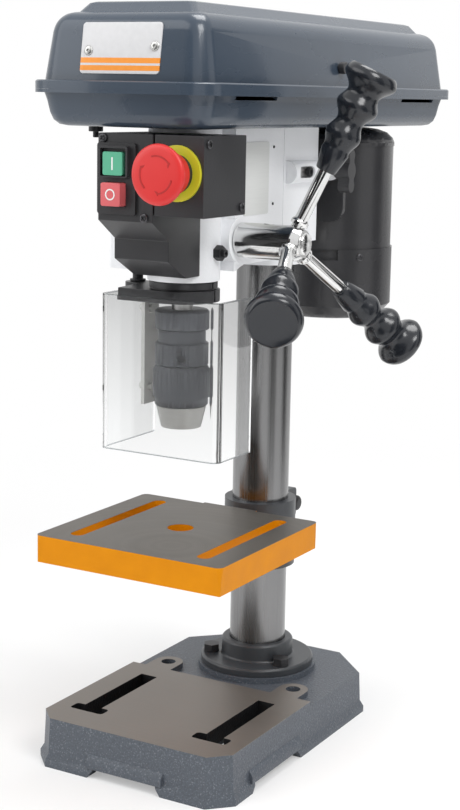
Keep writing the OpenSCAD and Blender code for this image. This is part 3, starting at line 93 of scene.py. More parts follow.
class Paint:  # one material; constants go straight onto the shader's sockets
    def __init__(self, name, **constants):
        self.material = bpy.data.materials.new(name)
        self.material.use_nodes = True
        self.tree = self.material.node_tree
        self.shader = self.tree.nodes["Principled BSDF"]
        self.coords = None
        for socket, value in constants.items():
            self.shader.inputs[socket].default_value = value

    def add(self, kind, settings=None, sockets=None, out=0):
        node = self.tree.nodes.new("ShaderNode" + kind)
        for key, value in (settings or {}).items():
            setattr(node, key, value)
        for key, value in (sockets or {}).items():
            self.plug(node.inputs[key], value)
        return Wire(self, node.outputs[out])

    def plug(self, socket, value):
        if isinstance(value, Wire):
            self.tree.links.new(value.socket, socket)
        else:
            socket.default_value = value

    def place(self):
        if self.coords is None:
            self.coords = self.add("TexCoord", out="Object")
        return self.coords

    def along(self, axis):
        return self.add("SeparateXYZ", None, {0: self.place()}, out=axis)

    def mapped(self, stretch, centre=(0, 0, 0)):
        shift = [-c * s for c, s in zip(centre, stretch)]
        return self.add("Mapping", None, {"Vector": self.place(), "Scale": stretch, "Location": shift})

    def spread(self, centre, scale):  # scaled distance from an upright axis
        flat = self.mapped((scale, scale, 0), centre)
        return self.add("VectorMath", {"operation": "LENGTH"}, {0: flat}, out="Value")

    def noise(self, scale, detail=2.0, stretch=None, rough=0.5, where=None):
        if where is None:
            where = self.place() if stretch is None else self.mapped(stretch)
        sockets = {"Vector": where, "Scale": scale, "Detail": detail, "Roughness": rough}
        return self.add("TexNoise", None, sockets)

    def cells(self, scale):
        sockets = {"Vector": self.place(), "Scale": scale}
        return self.add("TexVoronoi", {"feature": "F1"}, sockets, out="Distance")

    def steps(self, wire, low, high):
        sockets = {0: wire, 1: low, 2: high, 3: 0.0, 4: 1.0}
        return self.add("MapRange", {"interpolation_type": "SMOOTHSTEP"}, sockets)

    def mix(self, share, first, second):
        return self.add("Mix", {"data_type": "RGBA"}, {0: share, 6: first, 7: second}, out=2)

    def bump(self, height, strength, depth):
        return self.add("Bump", None, {"Height": height, "Strength": strength, "Distance": depth})

    def link(self, **sockets):
        for key, value in sockets.items():
            self.plug(self.shader.inputs[key.replace("_", " ")], value)
        return self.material


def tone(red, green, blue):
    return (red, green, blue, 1.0)


# pressed sheet: smooth gloss with a trace of orange peel and cloudy gloss
sheetPaint = {
    "dark": tone(0.034, 0.048, 0.069), "light": tone(0.046, 0.064, 0.090), "peel": 420,
    "gloss": {"Coat Weight": 0.3, "Coat Roughness": 0.07, "Specular IOR Level": 0.35},
}


def makeSheetPaint():
    paint = Paint("sheetPaint", **sheetPaint["gloss"])
    cloud = paint.noise(14, 3)
    peel = paint.noise(sheetPaint["peel"], 1)
    rub = paint.noise(60, 4, (1, 0.2, 1))
    return paint.link(
        Base_Color=paint.mix(cloud, sheetPaint["dark"], sheetPaint["light"]),
        Roughness=0.20 + cloud * 0.08 + rub * 0.07,
        Normal=paint.bump(peel, 0.25, 0.00012),
    )


# hammered paint on the base with pale flecks painted as glints, bare iron where its pad is faced, and
# painted shade, near black, inside its slots
hammerPaint = {
    "dark": tone(0.040, 0.048, 0.060), "light": tone(0.102, 0.118, 0.143), "grain": 620,
    # pale flecks are painted glints of light on the hammered paint
    "glintFleck": tone(0.24, 0.26, 0.29), "glintFleckFrom": 0.58, "glintFleckTo": 0.72,
}
facedIron = {"dark": tone(0.170, 0.153, 0.137), "light": tone(0.255, 0.232, 0.210)}
baseFaces = {
    "top": 0.0378, "earBack": -0.0331, "seat": 0.0505, "slotX": (0.036, 0.073), "slotY": (-0.190, -0.070),
    "slotShade": tone(0.007, 0.007, 0.008),
}


def hammered(paint):
    grain = paint.noise(hammerPaint["grain"], 2.5, None, 0.6)
    dimple = paint.cells(hammerPaint["grain"] * 0.9)
    height = grain * 0.7 + dimple * 0.3
    colour = paint.mix(grain, hammerPaint["dark"], hammerPaint["light"])
    # painted glints: pale flecks stand in for light sparkling off the hammered paint
    speck = paint.noise(hammerPaint["grain"] * 1.3, 1)
    glintFleck = paint.steps(speck, hammerPaint["glintFleckFrom"], hammerPaint["glintFleckTo"])
    return paint.mix(glintFleck * 0.5, colour, hammerPaint["glintFleck"]), height


def makeBasePaint():
    paint = Paint("basePaint")
    colour, height = hammered(paint)
    across, forth, up = (paint.along(axis) for axis in "XYZ")
    pad = up.above(baseFaces["top"]) * forth.below(baseFaces["earBack"])
    faced = pad * paint.spread((0, 0, 0), 1).above(baseFaces["seat"])
    # painted shade: the slot walls below the top are coloured near black, where shade falls inside the slots
    (near, far), (front, back) = baseFaces["slotX"], baseFaces["slotY"]
    slot = (across * across).above(near**2) * (across * across).below(far**2)
    slot = slot * forth.above(front) * forth.below(back) * up.below(baseFaces["top"])
    colour = paint.mix(slot, colour, baseFaces["slotShade"])
    streak = paint.noise(38, 5, (0.25, 9, 1), 0.6)
    stain = paint.noise(9, 3)
    iron = paint.mix(streak * 0.55 + stain * 0.45, facedIron["dark"], facedIron["light"])
    return paint.link(
        Base_Color=paint.mix(faced, colour, iron),
        Metallic=faced * 0.75,
        Roughness=(0.36 + height * 0.14) * (1 - faced) + (0.36 + streak * 0.16) * faced,
        Normal=paint.bump(height * (1 - faced) + streak * faced * 0.12, 0.75, 0.0007),
    )


# yellow table with a milled top; the arcs run about the place where the cutter stood
tablePaint = {
    "dark": tone(0.57, 0.195, 0.001), "light": tone(0.69, 0.255, 0.002), "top": 0.18045,
    "cutter": (0.02, -0.17, 0.18), "swirl": 190, "arc": 62,
}
milledIron = {"dark": tone(0.070, 0.064, 0.056), "light": tone(0.240, 0.219, 0.194)}


def makeTablePaint():
    paint = Paint("tablePaint", **{"Specular IOR Level": 0.1})
    mottle = paint.noise(70, 4)
    skin = paint.noise(520, 2)
    faced = paint.along("Z").above(tablePaint["top"])
    fromCutter = paint.mapped((1, 1, 1), tablePaint["cutter"])
    swirl = paint.add(
        "TexWave",
        {"wave_type": "RINGS", "rings_direction": "Z"},
        {"Vector": fromCutter, "Scale": tablePaint["swirl"], "Distortion": 1.2, "Detail": 2.0},
    )
    arc = paint.noise(1.0, 3, None, 0.6, paint.spread(tablePaint["cutter"], tablePaint["arc"]))
    sweep = paint.noise(16, 3)
    iron = paint.mix(swirl * 0.2 + arc * 0.45 + sweep * 0.35, milledIron["dark"], milledIron["light"])
    yellow = paint.mix(mottle, tablePaint["dark"], tablePaint["light"])
    return paint.link(
        Base_Color=paint.mix(faced, yellow, iron),
        Metallic=faced * 0.75,
        Roughness=(0.38 + mottle * 0.12) * (1 - faced) + (0.34 + sweep * 0.2) * faced,
        Normal=paint.bump(skin * (1 - faced) + swirl * faced * 0.25, 0.4, 0.0003),
    )


# pale cast paint of the head
castPaint = {"dark": tone(0.80, 0.81, 0.83), "light": tone(0.91, 0.92, 0.94)}


def makeCastPaint():
    paint = Paint("castPaint")
    pebble = paint.noise(430, 3, None, 0.6)
    cloud = paint.noise(22, 3)
    return paint.link(
        Base_Color=paint.mix(cloud * 0.6 + pebble * 0.4, castPaint["dark"], castPaint["light"]),
        Roughness=0.42 + pebble * 0.16,
        Normal=paint.bump(pebble, 0.45, 0.0005),
    )


# bare metal: name, how the streaks are drawn out, dark, light, roughness
bareMetals = {
    "column": ("groundSteel", (900, 900, 4), tone(0.17, 0.17, 0.172), tone(0.29, 0.29, 0.292), 0.19),
    "turned": ("turnedSteel", (60, 60, 1800), tone(0.36, 0.355, 0.35), tone(0.60, 0.595, 0.585), 0.26),
    "zinc": ("zincSteel", (90, 90, 90), tone(0.46, 0.46, 0.45), tone(0.64, 0.64, 0.62), 0.3),
    "spring": ("springSteel", (200, 20, 20), tone(0.14, 0.16, 0.22), tone(0.24, 0.27, 0.34), 0.3),
    "pulley": ("turnedAluminium", (40, 40, 2200), tone(0.50, 0.51, 0.52), tone(0.66, 0.67, 0.68), 0.28),
}


def makeBareMetal(name, lines, dark, light, rough):
    paint = Paint(name, Metallic=1.0)
    streak = paint.noise(1.0, 4, lines, 0.65)
    cloud = paint.noise(30, 2)
    return paint.link(
        Base_Color=paint.mix(streak * 0.7 + cloud * 0.3, dark, light),
        Roughness=rough + streak * 0.14,
        Normal=paint.bump(streak, 0.12, 0.0001),
    )


# blackened and sprayed metal: name, dark, light, roughness, share of metal
darkMetals = {
    "oxide": ("blackOxide", tone(0.022, 0.022, 0.024), tone(0.045, 0.045, 0.048), 0.36, 0.5),
    "flange": ("flangePaint", tone(0.026, 0.029, 0.033), tone(0.050, 0.055, 0.062), 0.32, 0.0),
    "motor": ("motorPaint", tone(0.024, 0.024, 0.026), tone(0.040, 0.040, 0.043), 0.20, 0.0),
    "screw": ("screwBlack", tone(0.06, 0.06, 0.065), tone(0.11, 0.11, 0.115), 0.28, 0.85),
}


def makeDarkMetal(name, dark, light, rough, metal):
    paint = Paint(name, Metallic=metal)
    speck = paint.noise(600, 2)
    cloud = paint.noise(35, 3)
    return paint.link(
        Base_Color=paint.mix(speck * 0.4 + cloud * 0.6, dark, light),
        Roughness=rough + cloud * 0.12,
        Normal=paint.bump(speck, 0.2, 0.0002),
    )


# chuck: black body with a bare steel nose cone
chuckTone = {
    "nose": 0.2762,
    "black": (tone(0.052, 0.056, 0.065), tone(0.082, 0.087, 0.099)),
    "steel": (tone(0.24, 0.238, 0.23), tone(0.40, 0.395, 0.38)),
}


def makeChuck():
    paint = Paint("chuckBlack")
    bare = paint.along("Z").below(chuckTone["nose"])
    ring = paint.noise(1.0, 3, (40, 40, 2600))
    speck = paint.noise(500, 2)
    black = paint.mix(speck, *chuckTone["black"])
    steel = paint.mix(ring, *chuckTone["steel"])
    return paint.link(
        Base_Color=paint.mix(bare, black, steel),
        Metallic=0.35 + bare * 0.65,
        Roughness=0.40 - bare * 0.1 + ring * 0.1,
        Normal=paint.bump(ring, 0.15, 0.0001),
    )


# plating on the feed levers
chromeTone = {"dark": tone(0.66, 0.66, 0.66), "light": tone(0.77, 0.77, 0.76)}


def makeChrome():
    paint = Paint("chrome", Metallic=1.0)
    haze = paint.noise(55, 4)
    return paint.link(
        Base_Color=paint.mix(haze, chromeTone["dark"], chromeTone["light"]),
        Roughness=0.10 + haze * 0.06,
    )


# moulded plastic and rubber: name, dark, light, roughness, grain, depth of the grain
plastics = {
    "housing": ("housingPlastic", tone(0.020, 0.020, 0.022), tone(0.032, 0.032, 0.035), 0.33, 900, 0.0002),
    "grip": ("gripPlastic", tone(0.009, 0.011, 0.015), tone(0.016, 0.018, 0.023), 0.16, 240, 0.00006),
    "green": ("greenPlastic", tone(0.075, 0.36, 0.215), tone(0.10, 0.41, 0.26), 0.25, 500, 0.00006),
    "red": ("redPlastic", tone(0.58, 0.10, 0.11), tone(0.66, 0.135, 0.145), 0.25, 500, 0.00006),
    # the arrows' darker red is painted shade: raised in the cap's own red, they show only by their shading
    "arrow": ("arrowRed", tone(0.36, 0.010, 0.010), tone(0.42, 0.014, 0.013), 0.34, 500, 0.00006),
    "belt": ("beltRubber", tone(0.012, 0.012, 0.012), tone(0.022, 0.022, 0.022), 0.7, 800, 0.0003),
}


def makePlastic(name, dark, light, rough, grain, depth):
    paint = Paint(name)
    leather = paint.noise(grain, 2.5, None, 0.6)
    cloud = paint.noise(28, 3)
    return paint.link(
        Base_Color=paint.mix(cloud, dark, light),
        Roughness=rough + leather * 0.1,
        Normal=paint.bump(leather, 0.3, depth),
    )


# mushroom head: red cap on a black neck
mushroomTone = {
    "neckY": -0.2112, "neck": tone(0.02, 0.02, 0.022),
    "dark": tone(0.56, 0.018, 0.018), "light": tone(0.64, 0.026, 0.024),
}


def makeMushroom():
    paint = Paint("mushroomRed")
    neck = paint.along("Y").above(mushroomTone["neckY"])
    cloud = paint.noise(30, 3)
    red = paint.mix(cloud, mushroomTone["dark"], mushroomTone["light"])
    return paint.link(
        Base_Color=paint.mix(neck, red, mushroomTone["neck"]),
        Roughness=0.32 + cloud * 0.08,
        Normal=paint.bump(paint.noise(900, 2), 0.12, 0.0001),
    )


# yellow ring with a black collar in its middle
ringTone = {
    "collarY": -0.2057, "collar": tone(0.02, 0.02, 0.022),
    "dark": tone(0.52, 0.49, 0.015), "light": tone(0.60, 0.56, 0.025),
}


def makeStopRing():
    paint = Paint("ringYellow")
    collar = paint.along("Y").below(ringTone["collarY"])
    cloud = paint.noise(40, 3)
    yellow = paint.mix(cloud, ringTone["dark"], ringTone["light"])
    return paint.link(
        Base_Color=paint.mix(collar, yellow, ringTone["collar"]),
        Roughness=0.36 + cloud * 0.1,
        Normal=paint.bump(paint.noise(700, 2), 0.15, 0.0001),
    )


# clear sheet with sawn, greyer edges above and below
clearSheet = {
    "dark": tone(0.965, 0.972, 0.972), "light": tone(0.985, 0.988, 0.988), "bend": 1.49,
    "sawnDeep": 0.0006, "sawn": tone(0.42, 0.45, 0.46),
}


def makeClear():
    paint = Paint("clearSheet", **{"Transmission Weight": 1.0, "IOR": clearSheet["bend"]})
    smear = paint.noise(18, 4)
    low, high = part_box("chuck_guard")
    height = paint.along("Z")
    sawn = height.below(low.z + clearSheet["sawnDeep"]) + height.above(high.z - clearSheet["sawnDeep"])
    clear = paint.mix(smear, clearSheet["dark"], clearSheet["light"])
    return paint.link(
        Base_Color=paint.mix(sawn, clear, clearSheet["sawn"]),
        Roughness=0.01 + smear * 0.02 + sawn * 0.15,
    )


paints = {
    "sheet": makeSheetPaint(),
    "base": makeBasePaint(),
    "table": makeTablePaint(),
    "cast": makeCastPaint(),
    "chuck": makeChuck(),
    "chrome": makeChrome(),
    "mushroom": makeMushroom(),
    "ring": makeStopRing(),
    "clear": makeClear(),
}
paints.update({key: makeBareMetal(*recipe) for key, recipe in bareMetals.items()})
paints.update({key: makeDarkMetal(*recipe) for key, recipe in darkMetals.items()})
paints.update({key: makePlastic(*recipe) for key, recipe in plastics.items()})
print("paints mixed,", len(paints))

# which paint each solid wears, and how wide its edges are rounded, in metres
finishes = {
    "base": ("base", 0.0012), "column_flange": ("flange", 0.0006), "flange_bolts": ("oxide", 0.0004),
    "column": ("column", 0.0008), "table_bracket": ("flange", 0.0008), "table_clamp": ("oxide", 0.0004),
    "clamp_nut": ("oxide", 0.0), "table": ("table", 0.0008), "tilt_bolt": ("oxide", 0.0004),
    "head_casting": ("cast", 0.0008), "pulley_bearings": ("zinc", 0.0), "gib_screw": ("oxide", 0.0004),
    "spring_cap": ("oxide", 0.0008), "return_spring": ("spring", 0.0), "guard_bracket": ("housing", 0.0006),
    "guard_switch_box": ("cast", 0.0008), "guard_rod": ("oxide", 0.0004), "guard_hanger": ("zinc", 0.0004),
    "guard_nuts": ("zinc", 0.0), "chuck_guard": ("clear", 0.0003), "quill": ("turned", 0.0),
    "quill_bearings": ("zinc", 0.0), "spindle": ("turned", 0.0), "chuck_body": ("chuck", 0.0),
    "chuck_sleeve": ("chuck", 0.0), "chuck_jaw_1": ("zinc", 0.0), "chuck_jaw_2": ("zinc", 0.0),
    "chuck_jaw_3": ("zinc", 0.0), "pinion_shaft": ("turned", 0.0), "feed_hub": ("chrome", 0.0004),
    "hub_cap": ("chrome", 0.0), "feed_spokes": ("chrome", 0.0), "belt_pan": ("sheet", 0.0),
    "pan_screws": ("zinc", 0.0), "belt_cover": ("sheet", 0.0), "cover_hinges": ("zinc", 0.0),
    "cover_latch": ("housing", 0.0006), "spindle_pulley": ("pulley", 0.0), "motor_pulley": ("pulley", 0.0),
    "drive_belt": ("belt", 0.0), "motor_body": ("motor", 0.0), "motor_dome": ("motor", 0.0),
    "fan_cover": ("motor", 0.0005), "motor_shaft": ("turned", 0.0), "motor_plate": ("motor", 0.0005),
    "slide_rods": ("turned", 0.0004), "slide_screw": ("oxide", 0.0003), "tension_knob": ("housing", 0.0012),
    "switch_housing": ("housing", 0.0008), "switch_panel": ("housing", 0.0005),
    "start_button": ("green", 0.0005), "stop_button": ("red", 0.0005), "stop_box": ("housing", 0.0008),
    "stop_box_cover": ("housing", 0.0004), "stop_ring": ("ring", 0.0004),
}
skinning = {"merge": 0.000002, "flat": 0.2, "bevelFrom": 38, "segments": 2, "smooth": 32}  # metres, degrees
closeBy = 0.00001  # points nearer than this count as one place


def onlyThis(piece):
    if bpy.context.mode != "OBJECT":
        bpy.ops.object.mode_set(mode="OBJECT")
    bpy.ops.object.select_all(action="DESELECT")
    piece.select_set(True)
    bpy.context.view_layer.objects.active = piece


def applyPlace(piece):
    onlyThis(piece)
    bpy.ops.object.transform_apply(location=True, rotation=True, scale=True)


def wear(piece, paint):
    piece.data.materials.clear()
    piece.data.materials.append(paints[paint])


def settle(piece, body, paint):
    applyPlace(piece)
    wear(piece, paint)
    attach(piece, body)


def standFor(piece, node, paint):
    settle(piece, nodes[node]["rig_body"], paint)
    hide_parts(node)


def finishEdges(piece, angle=35):
    onlyThis(piece)
    bpy.ops.object.shade_smooth_by_angle(angle=math.radians(angle))


def smoothCopy(node, paint, rounding):
    piece = bpy.data.objects.new(node + "Skin", nodes[node].data.copy())
    bpy.context.scene.collection.objects.link(piece)
    onlyThis(piece)
    bpy.ops.object.mode_set(mode="EDIT")
    bpy.ops.mesh.select_all(action="SELECT")
    bpy.ops.mesh.remove_doubles(threshold=skinning["merge"])
    bpy.ops.mesh.dissolve_limited(angle_limit=math.radians(skinning["flat"]))
    bpy.ops.object.mode_set(mode="OBJECT")
    if rounding:
        edges = piece.modifiers.new("edges", "BEVEL")
        edges.width = rounding
        edges.segments = skinning["segments"]
        edges.limit_method = "ANGLE"
        edges.angle_limit = math.radians(skinning["bevelFrom"])
        bpy.ops.object.modifier_apply(modifier="edges")
    finishEdges(piece, skinning["smooth"])
    if rounding:
        piece.modifiers.new("normals", "WEIGHTED_NORMAL").keep_sharp = True
        bpy.ops.object.modifier_apply(modifier="normals")
    standFor(piece, node, paint)
    return piece


skins = {node: smoothCopy(node, paint, rounding) for node, (paint, rounding) in finishes.items()}
print("solids dressed,", len(skins))


def pick(piece, kind, test):  # select edges or faces of one piece, and stay in edit mode
    onlyThis(piece)
    bpy.ops.object.mode_set(mode="EDIT")
    bpy.ops.mesh.select_mode(type=kind)
    bpy.ops.mesh.select_all(action="DESELECT")
    bpy.ops.object.mode_set(mode="OBJECT")
    items = piece.data.polygons if kind == "FACE" else piece.data.edges
    points = piece.data.vertices
    for item in items:
        item.select = test(item, [points[i].co for i in item.vertices])
    bpy.ops.object.mode_set(mode="EDIT")


# the cover's rim comes down on the pan's, so that no light shows between them
rimSeat = {"bottom": 0.5063, "drop": 0.00026}


def seatCoverRim():
    def underRim(face, corners):
        level = all(abs(corner.z - rimSeat["bottom"]) < closeBy for corner in corners)
        return level and face.normal.z < -0.9

    pick(skins["belt_cover"], "FACE", underRim)
    bpy.ops.transform.translate(value=(0, 0, -rimSeat["drop"]))
    bpy.ops.object.mode_set(mode="OBJECT")


seatCoverRim()

# the roll round the cover's top: the edges that run up it are split and swelled
coverRoll = {"from": 0.5450, "to": 0.5590, "rise": 0.0003, "cuts": 2}


def roundCoverRoll():
    def upRoll(edge, ends):
        low, high = sorted(end.z for end in ends)
        return low > coverRoll["from"] and high < coverRoll["to"] and high - low > coverRoll["rise"]

    pick(skins["belt_cover"], "EDGE", upRoll)
    bpy.ops.mesh.subdivide(number_cuts=coverRoll["cuts"], smoothness=1.0)
    bpy.ops.object.mode_set(mode="OBJECT")
    finishEdges(skins["belt_cover"], skinning["smooth"])


roundCoverRoll()


def startBox(name, size, at=(0, 0, 0)):
    onlyThis(nodes["base"])
    bpy.ops.mesh.primitive_cube_add(size=1, location=at)
    piece = bpy.context.object
    piece.name = name
    piece.scale = size
    applyPlace(piece)
    return piece


def startDisc(name, radius, depth, sides):
    onlyThis(nodes["base"])
    bpy.ops.mesh.primitive_cylinder_add(vertices=sides, radius=radius, depth=depth)
    piece = bpy.context.object
    piece.name = name
    return piece


def turnPiece(piece, degrees, axis):
    piece.matrix_world = Matrix.Rotation(math.radians(degrees), 4, axis) @ piece.matrix_world
    applyPlace(piece)


def movePiece(piece, by):
    piece.location = by
    applyPlace(piece)


def twin(piece, name):
    copy = piece.copy()
    copy.data = piece.data.copy()
    copy.name = name
    bpy.context.scene.collection.objects.link(copy)
    return copy


def joinAll(pieces, name):
    onlyThis(pieces[0])
    for piece in pieces[1:]:
        piece.select_set(True)
    bpy.ops.object.join()
    pieces[0].name = name
    return pieces[0]


def runsAlong(axis, least):  # test for edges that run through a plate's thickness
    return lambda edge, ends: abs(ends[0][axis] - ends[1][axis]) > least


def roundEdges(piece, offset, segments, test):
    pick(piece, "EDGE", test)
    bpy.ops.mesh.bevel(offset=offset, segments=segments, affect="EDGES")
    bpy.ops.object.mode_set(mode="OBJECT")


def topStairs(piece, steps):  # inset the top face again and again: (inward, upward) in metres
    top = max(point.co.z for point in piece.data.vertices)
    pick(piece, "FACE", lambda face, corners: face.normal.z > 0.9 and corners[0].z > top - closeBy)
    for inward, upward in steps:
        bpy.ops.mesh.inset(thickness=inward, depth=upward)
    bpy.ops.object.mode_set(mode="OBJECT")


def turnOutline(name, outline, sides):  # a disc drawn out along Z, ring by ring: radius and place
    radius, place = outline[0]
    onlyThis(nodes["base"])
    bpy.ops.mesh.primitive_circle_add(vertices=sides, radius=radius, fill_type="NGON")
    piece = bpy.context.object
    piece.name = name
    movePiece(piece, (0, 0, place))
    pick(piece, "FACE", lambda face, corners: True)
    for wide, far in outline[1:]:
        bpy.ops.mesh.extrude_region_move(TRANSFORM_OT_translate={"value": (0, 0, far - place)})
        bpy.ops.transform.resize(value=(wide / radius, wide / radius, 1))
        radius, place = wide, far
    bpy.ops.mesh.select_all(action="SELECT")
    bpy.ops.mesh.normals_make_consistent(inside=False)
    bpy.ops.object.mode_set(mode="OBJECT")
    finishEdges(piece, 40)
    return piece


def frontOf(node, proud):  # the middle of a solid's front, or a little before it
    low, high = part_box(node)
    return ((low.x + high.x) / 2, low.y - proud, (low.z + high.z) / 2)


# bare name plate with two plain bands, on the cover's leaning front
namePlate = {
    "size": (0.064, 0.0009, 0.0346), "at": (0.0011, -0.21065, 0.53385), "lean": -8.5,
    "corner": 0.0026, "edge": 0.0003, "bands": ((0.52385, 0.52745), (0.51885, 0.52235)),
    "white": (tone(0.54, 0.54, 0.55), tone(0.62, 0.62, 0.63)),
    "orange": (tone(0.76, 0.25, 0.020), tone(0.84, 0.30, 0.035)),
    "rivets": ((-0.0247, 0.5321), (0.0285, 0.5352)),
    "rivet": 0.0034, "rivetDepth": 0.0006, "rivetProud": 0.0006,
    "rivetSteps": ((0.0003, 0.0003), (0.0006, 0.0004), (0.0008, 0.0002), (0.0007, 0.0), (0.0001, -0.0009)),
}


def makePlateEnamel():
    paint = Paint("plateEnamel")
    height = paint.along("Z")
    (low1, high1), (low2, high2) = namePlate["bands"]
    band = height.above(low1) * height.below(high1) + height.above(low2) * height.below(high2)
    speck = paint.noise(240, 3)
    white = paint.mix(speck, *namePlate["white"])
    orange = paint.mix(speck, *namePlate["orange"])
    return paint.link(Base_Color=paint.mix(band, white, orange), Roughness=0.3 + speck * 0.12)


def makeRivet():
    rivet = startDisc("rivet", namePlate["rivet"], namePlate["rivetDepth"], 28)
    topStairs(rivet, namePlate["rivetSteps"])
    finishEdges(rivet, 50)
    turnPiece(rivet, 90, "X")
    turnPiece(rivet, namePlate["lean"], "X")
    return rivet


def addNamePlate():
    paints["plate"] = makePlateEnamel()
    plate = startBox("namePlate", namePlate["size"])
    roundEdges(plate, namePlate["corner"], 5, runsAlong(1, 0.0005))
    front = namePlate["size"][1] / 2
    roundEdges(plate, namePlate["edge"], 2, lambda edge, ends: all(end.y < -front + closeBy for end in ends))
    finishEdges(plate)
    turnPiece(plate, namePlate["lean"], "X")
    movePiece(plate, namePlate["at"])
    settle(plate, "cover", "plate")
    rivet = makeRivet()
    slope = math.tan(math.radians(-namePlate["lean"]))
    for i, (x, z) in enumerate(namePlate["rivets"]):
        head = twin(rivet, "plateRivet%d" % (i + 1))
        y = namePlate["at"][1] + (z - namePlate["at"][2]) * slope - namePlate["rivetProud"]
        movePiece(head, (x, y, z))
        settle(head, "cover", "zinc")
    bpy.data.objects.remove(rivet)


addNamePlate()

# bare foil on the head's right side, held by two drive pins
ratingPlate = {
    "x": 0.03, "y": (-0.091, -0.053), "z": (0.416, 0.470), "thick": 0.0005, "proud": 0.0002, "corner": 0.002,
    "tones": (tone(0.66, 0.67, 0.66), tone(0.74, 0.75, 0.73)),
    "pins": ((-0.0455, 0.4660), (-0.0455, 0.4230)), "pin": 0.0011, "pinDepth": 0.0006,
    "pinSteps": ((0.0003, 0.0002), (0.0004, 0.0001)),
}


def makeFoil():
    paint = Paint("bareFoil")
    brush = paint.noise(1.0, 3, (40, 40, 1600))
    return paint.link(Base_Color=paint.mix(brush, *ratingPlate["tones"]), Roughness=0.32 + brush * 0.12)


def addRatingPlate():
    paints["foil"] = makeFoil()
    (front, back), (bottom, top) = ratingPlate["y"], ratingPlate["z"]
    face = ratingPlate["x"] + ratingPlate["proud"]
    size = (ratingPlate["thick"], back - front, top - bottom)
    foil = startBox("ratingPlate", size, (face, (front + back) / 2, (bottom + top) / 2))
    roundEdges(foil, ratingPlate["corner"], 4, runsAlong(0, 0.0003))
    finishEdges(foil)
    settle(foil, "stand", "foil")
    for i, (y, z) in enumerate(ratingPlate["pins"]):
        pin = startDisc("headPin%d" % (i + 1), ratingPlate["pin"], ratingPlate["pinDepth"], 16)
        topStairs(pin, ratingPlate["pinSteps"])
        finishEdges(pin, 60)
        turnPiece(pin, 90, "Y")
        movePiece(pin, (face, y, z))
        settle(pin, "stand", "oxide")


addRatingPlate()

# marks on the push buttons: a bar and a ring, let in a little
buttonMarks = {
    "bar": (0.0011, 0.0005, 0.0088), "corner": 0.0004, "proud": 0.00005,
    "ring": 0.0039, "ringWidth": 0.0009, "ringDepth": 0.0005,
    "tones": (tone(0.70, 0.72, 0.71), tone(0.78, 0.80, 0.79)),
}


def makeMarkWhite():
    paint = Paint("markWhite")
    speck = paint.noise(700, 2)
    return paint.link(Base_Color=paint.mix(speck, *buttonMarks["tones"]), Roughness=0.35 + speck * 0.1)


def addButtonMarks():
    paints["mark"] = makeMarkWhite()
    bar = startBox("startMark", buttonMarks["bar"])
    roundEdges(bar, buttonMarks["corner"], 3, runsAlong(1, 0.0003))
    movePiece(bar, frontOf("start_button", buttonMarks["proud"]))
    settle(bar, "start_button", "mark")
    ring = startDisc("stopMark", buttonMarks["ring"], buttonMarks["ringDepth"], 40)
    pick(ring, "FACE", lambda face, corners: abs(face.normal.z) > 0.9)
    bpy.ops.mesh.inset(thickness=buttonMarks["ringWidth"], depth=0, use_individual=True)
    bpy.ops.mesh.bridge_edge_loops()
    bpy.ops.object.mode_set(mode="OBJECT")
    finishEdges(ring)
    turnPiece(ring, 90, "X")
    movePiece(ring, frontOf("stop_button", buttonMarks["proud"]))
    settle(ring, "stop_button", "mark")


addButtonMarks()

# mushroom head with a hollow barrel that goes over the ring's collar when it is pushed
mushroomHead = {
    "head": 0.0205, "barrel": 0.01455, "bore": 0.01325, "neck": 0.01095, "tail": 0.012, "cap": 0.0194,
    "rise": 0.011, "boreDepth": 0.006, "sides": 96, "domeRings": 6,
    "edge": (  # inward from the head's radius, up from the wall
        (0.0015, 0.0140), (0.0006, 0.0146), (0.0002, 0.0153), (0.0, 0.0162), (0.0002, 0.0170),
        (0.0006, 0.0177), (0.0014, 0.0182), (0.0024, 0.0186), (0.0035, 0.0189),
    ),
}


def mushroomOutline(lift):
    shape = mushroomHead
    mouth = lift + shape["boreDepth"]
    outline = [(shape["neck"], -shape["tail"]), (shape["neck"], mouth)]
    outline += [(shape["bore"], mouth), (shape["bore"], lift)]
    outline += [(shape["barrel"], lift), (shape["barrel"], lift + shape["rise"])]
    outline += [(shape["head"] - inward, lift + up) for inward, up in shape["edge"]]
    inward, shoulder = shape["edge"][-1]
    brim = shape["head"] - inward
    for ring in range(1, shape["domeRings"] + 1):
        share = 1 - ring / (shape["domeRings"] + 1)
        outline.append((brim * share, lift + shoulder + (shape["cap"] - shoulder) * (1 - share * share)))
    return outline


def addMushroom():
    low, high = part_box("stop_mushroom")
    wall = high.y - mushroomHead["tail"]
    outline = mushroomOutline(wall - low.y - mushroomHead["cap"])
    head = turnOutline("mushroom", outline, mushroomHead["sides"])
    turnPiece(head, 90, "X")
    movePiece(head, ((low.x + high.x) / 2, wall, (low.z + high.z) / 2))
    standFor(head, "stop_mushroom", "mushroom")


addMushroom()

# three raised turn arrows on the mushroom's face, coloured a darker red as painted shade
turnArrows = {
    "radius": 0.0125, "width": 0.0011, "height": 0.0006, "start": 0.0002, "sunk": 0.00035,
    "sweep": 68, "steps": 12, "first": 15, "barb": 2.6, "tip": 0.0030, "point": 0.08,
}


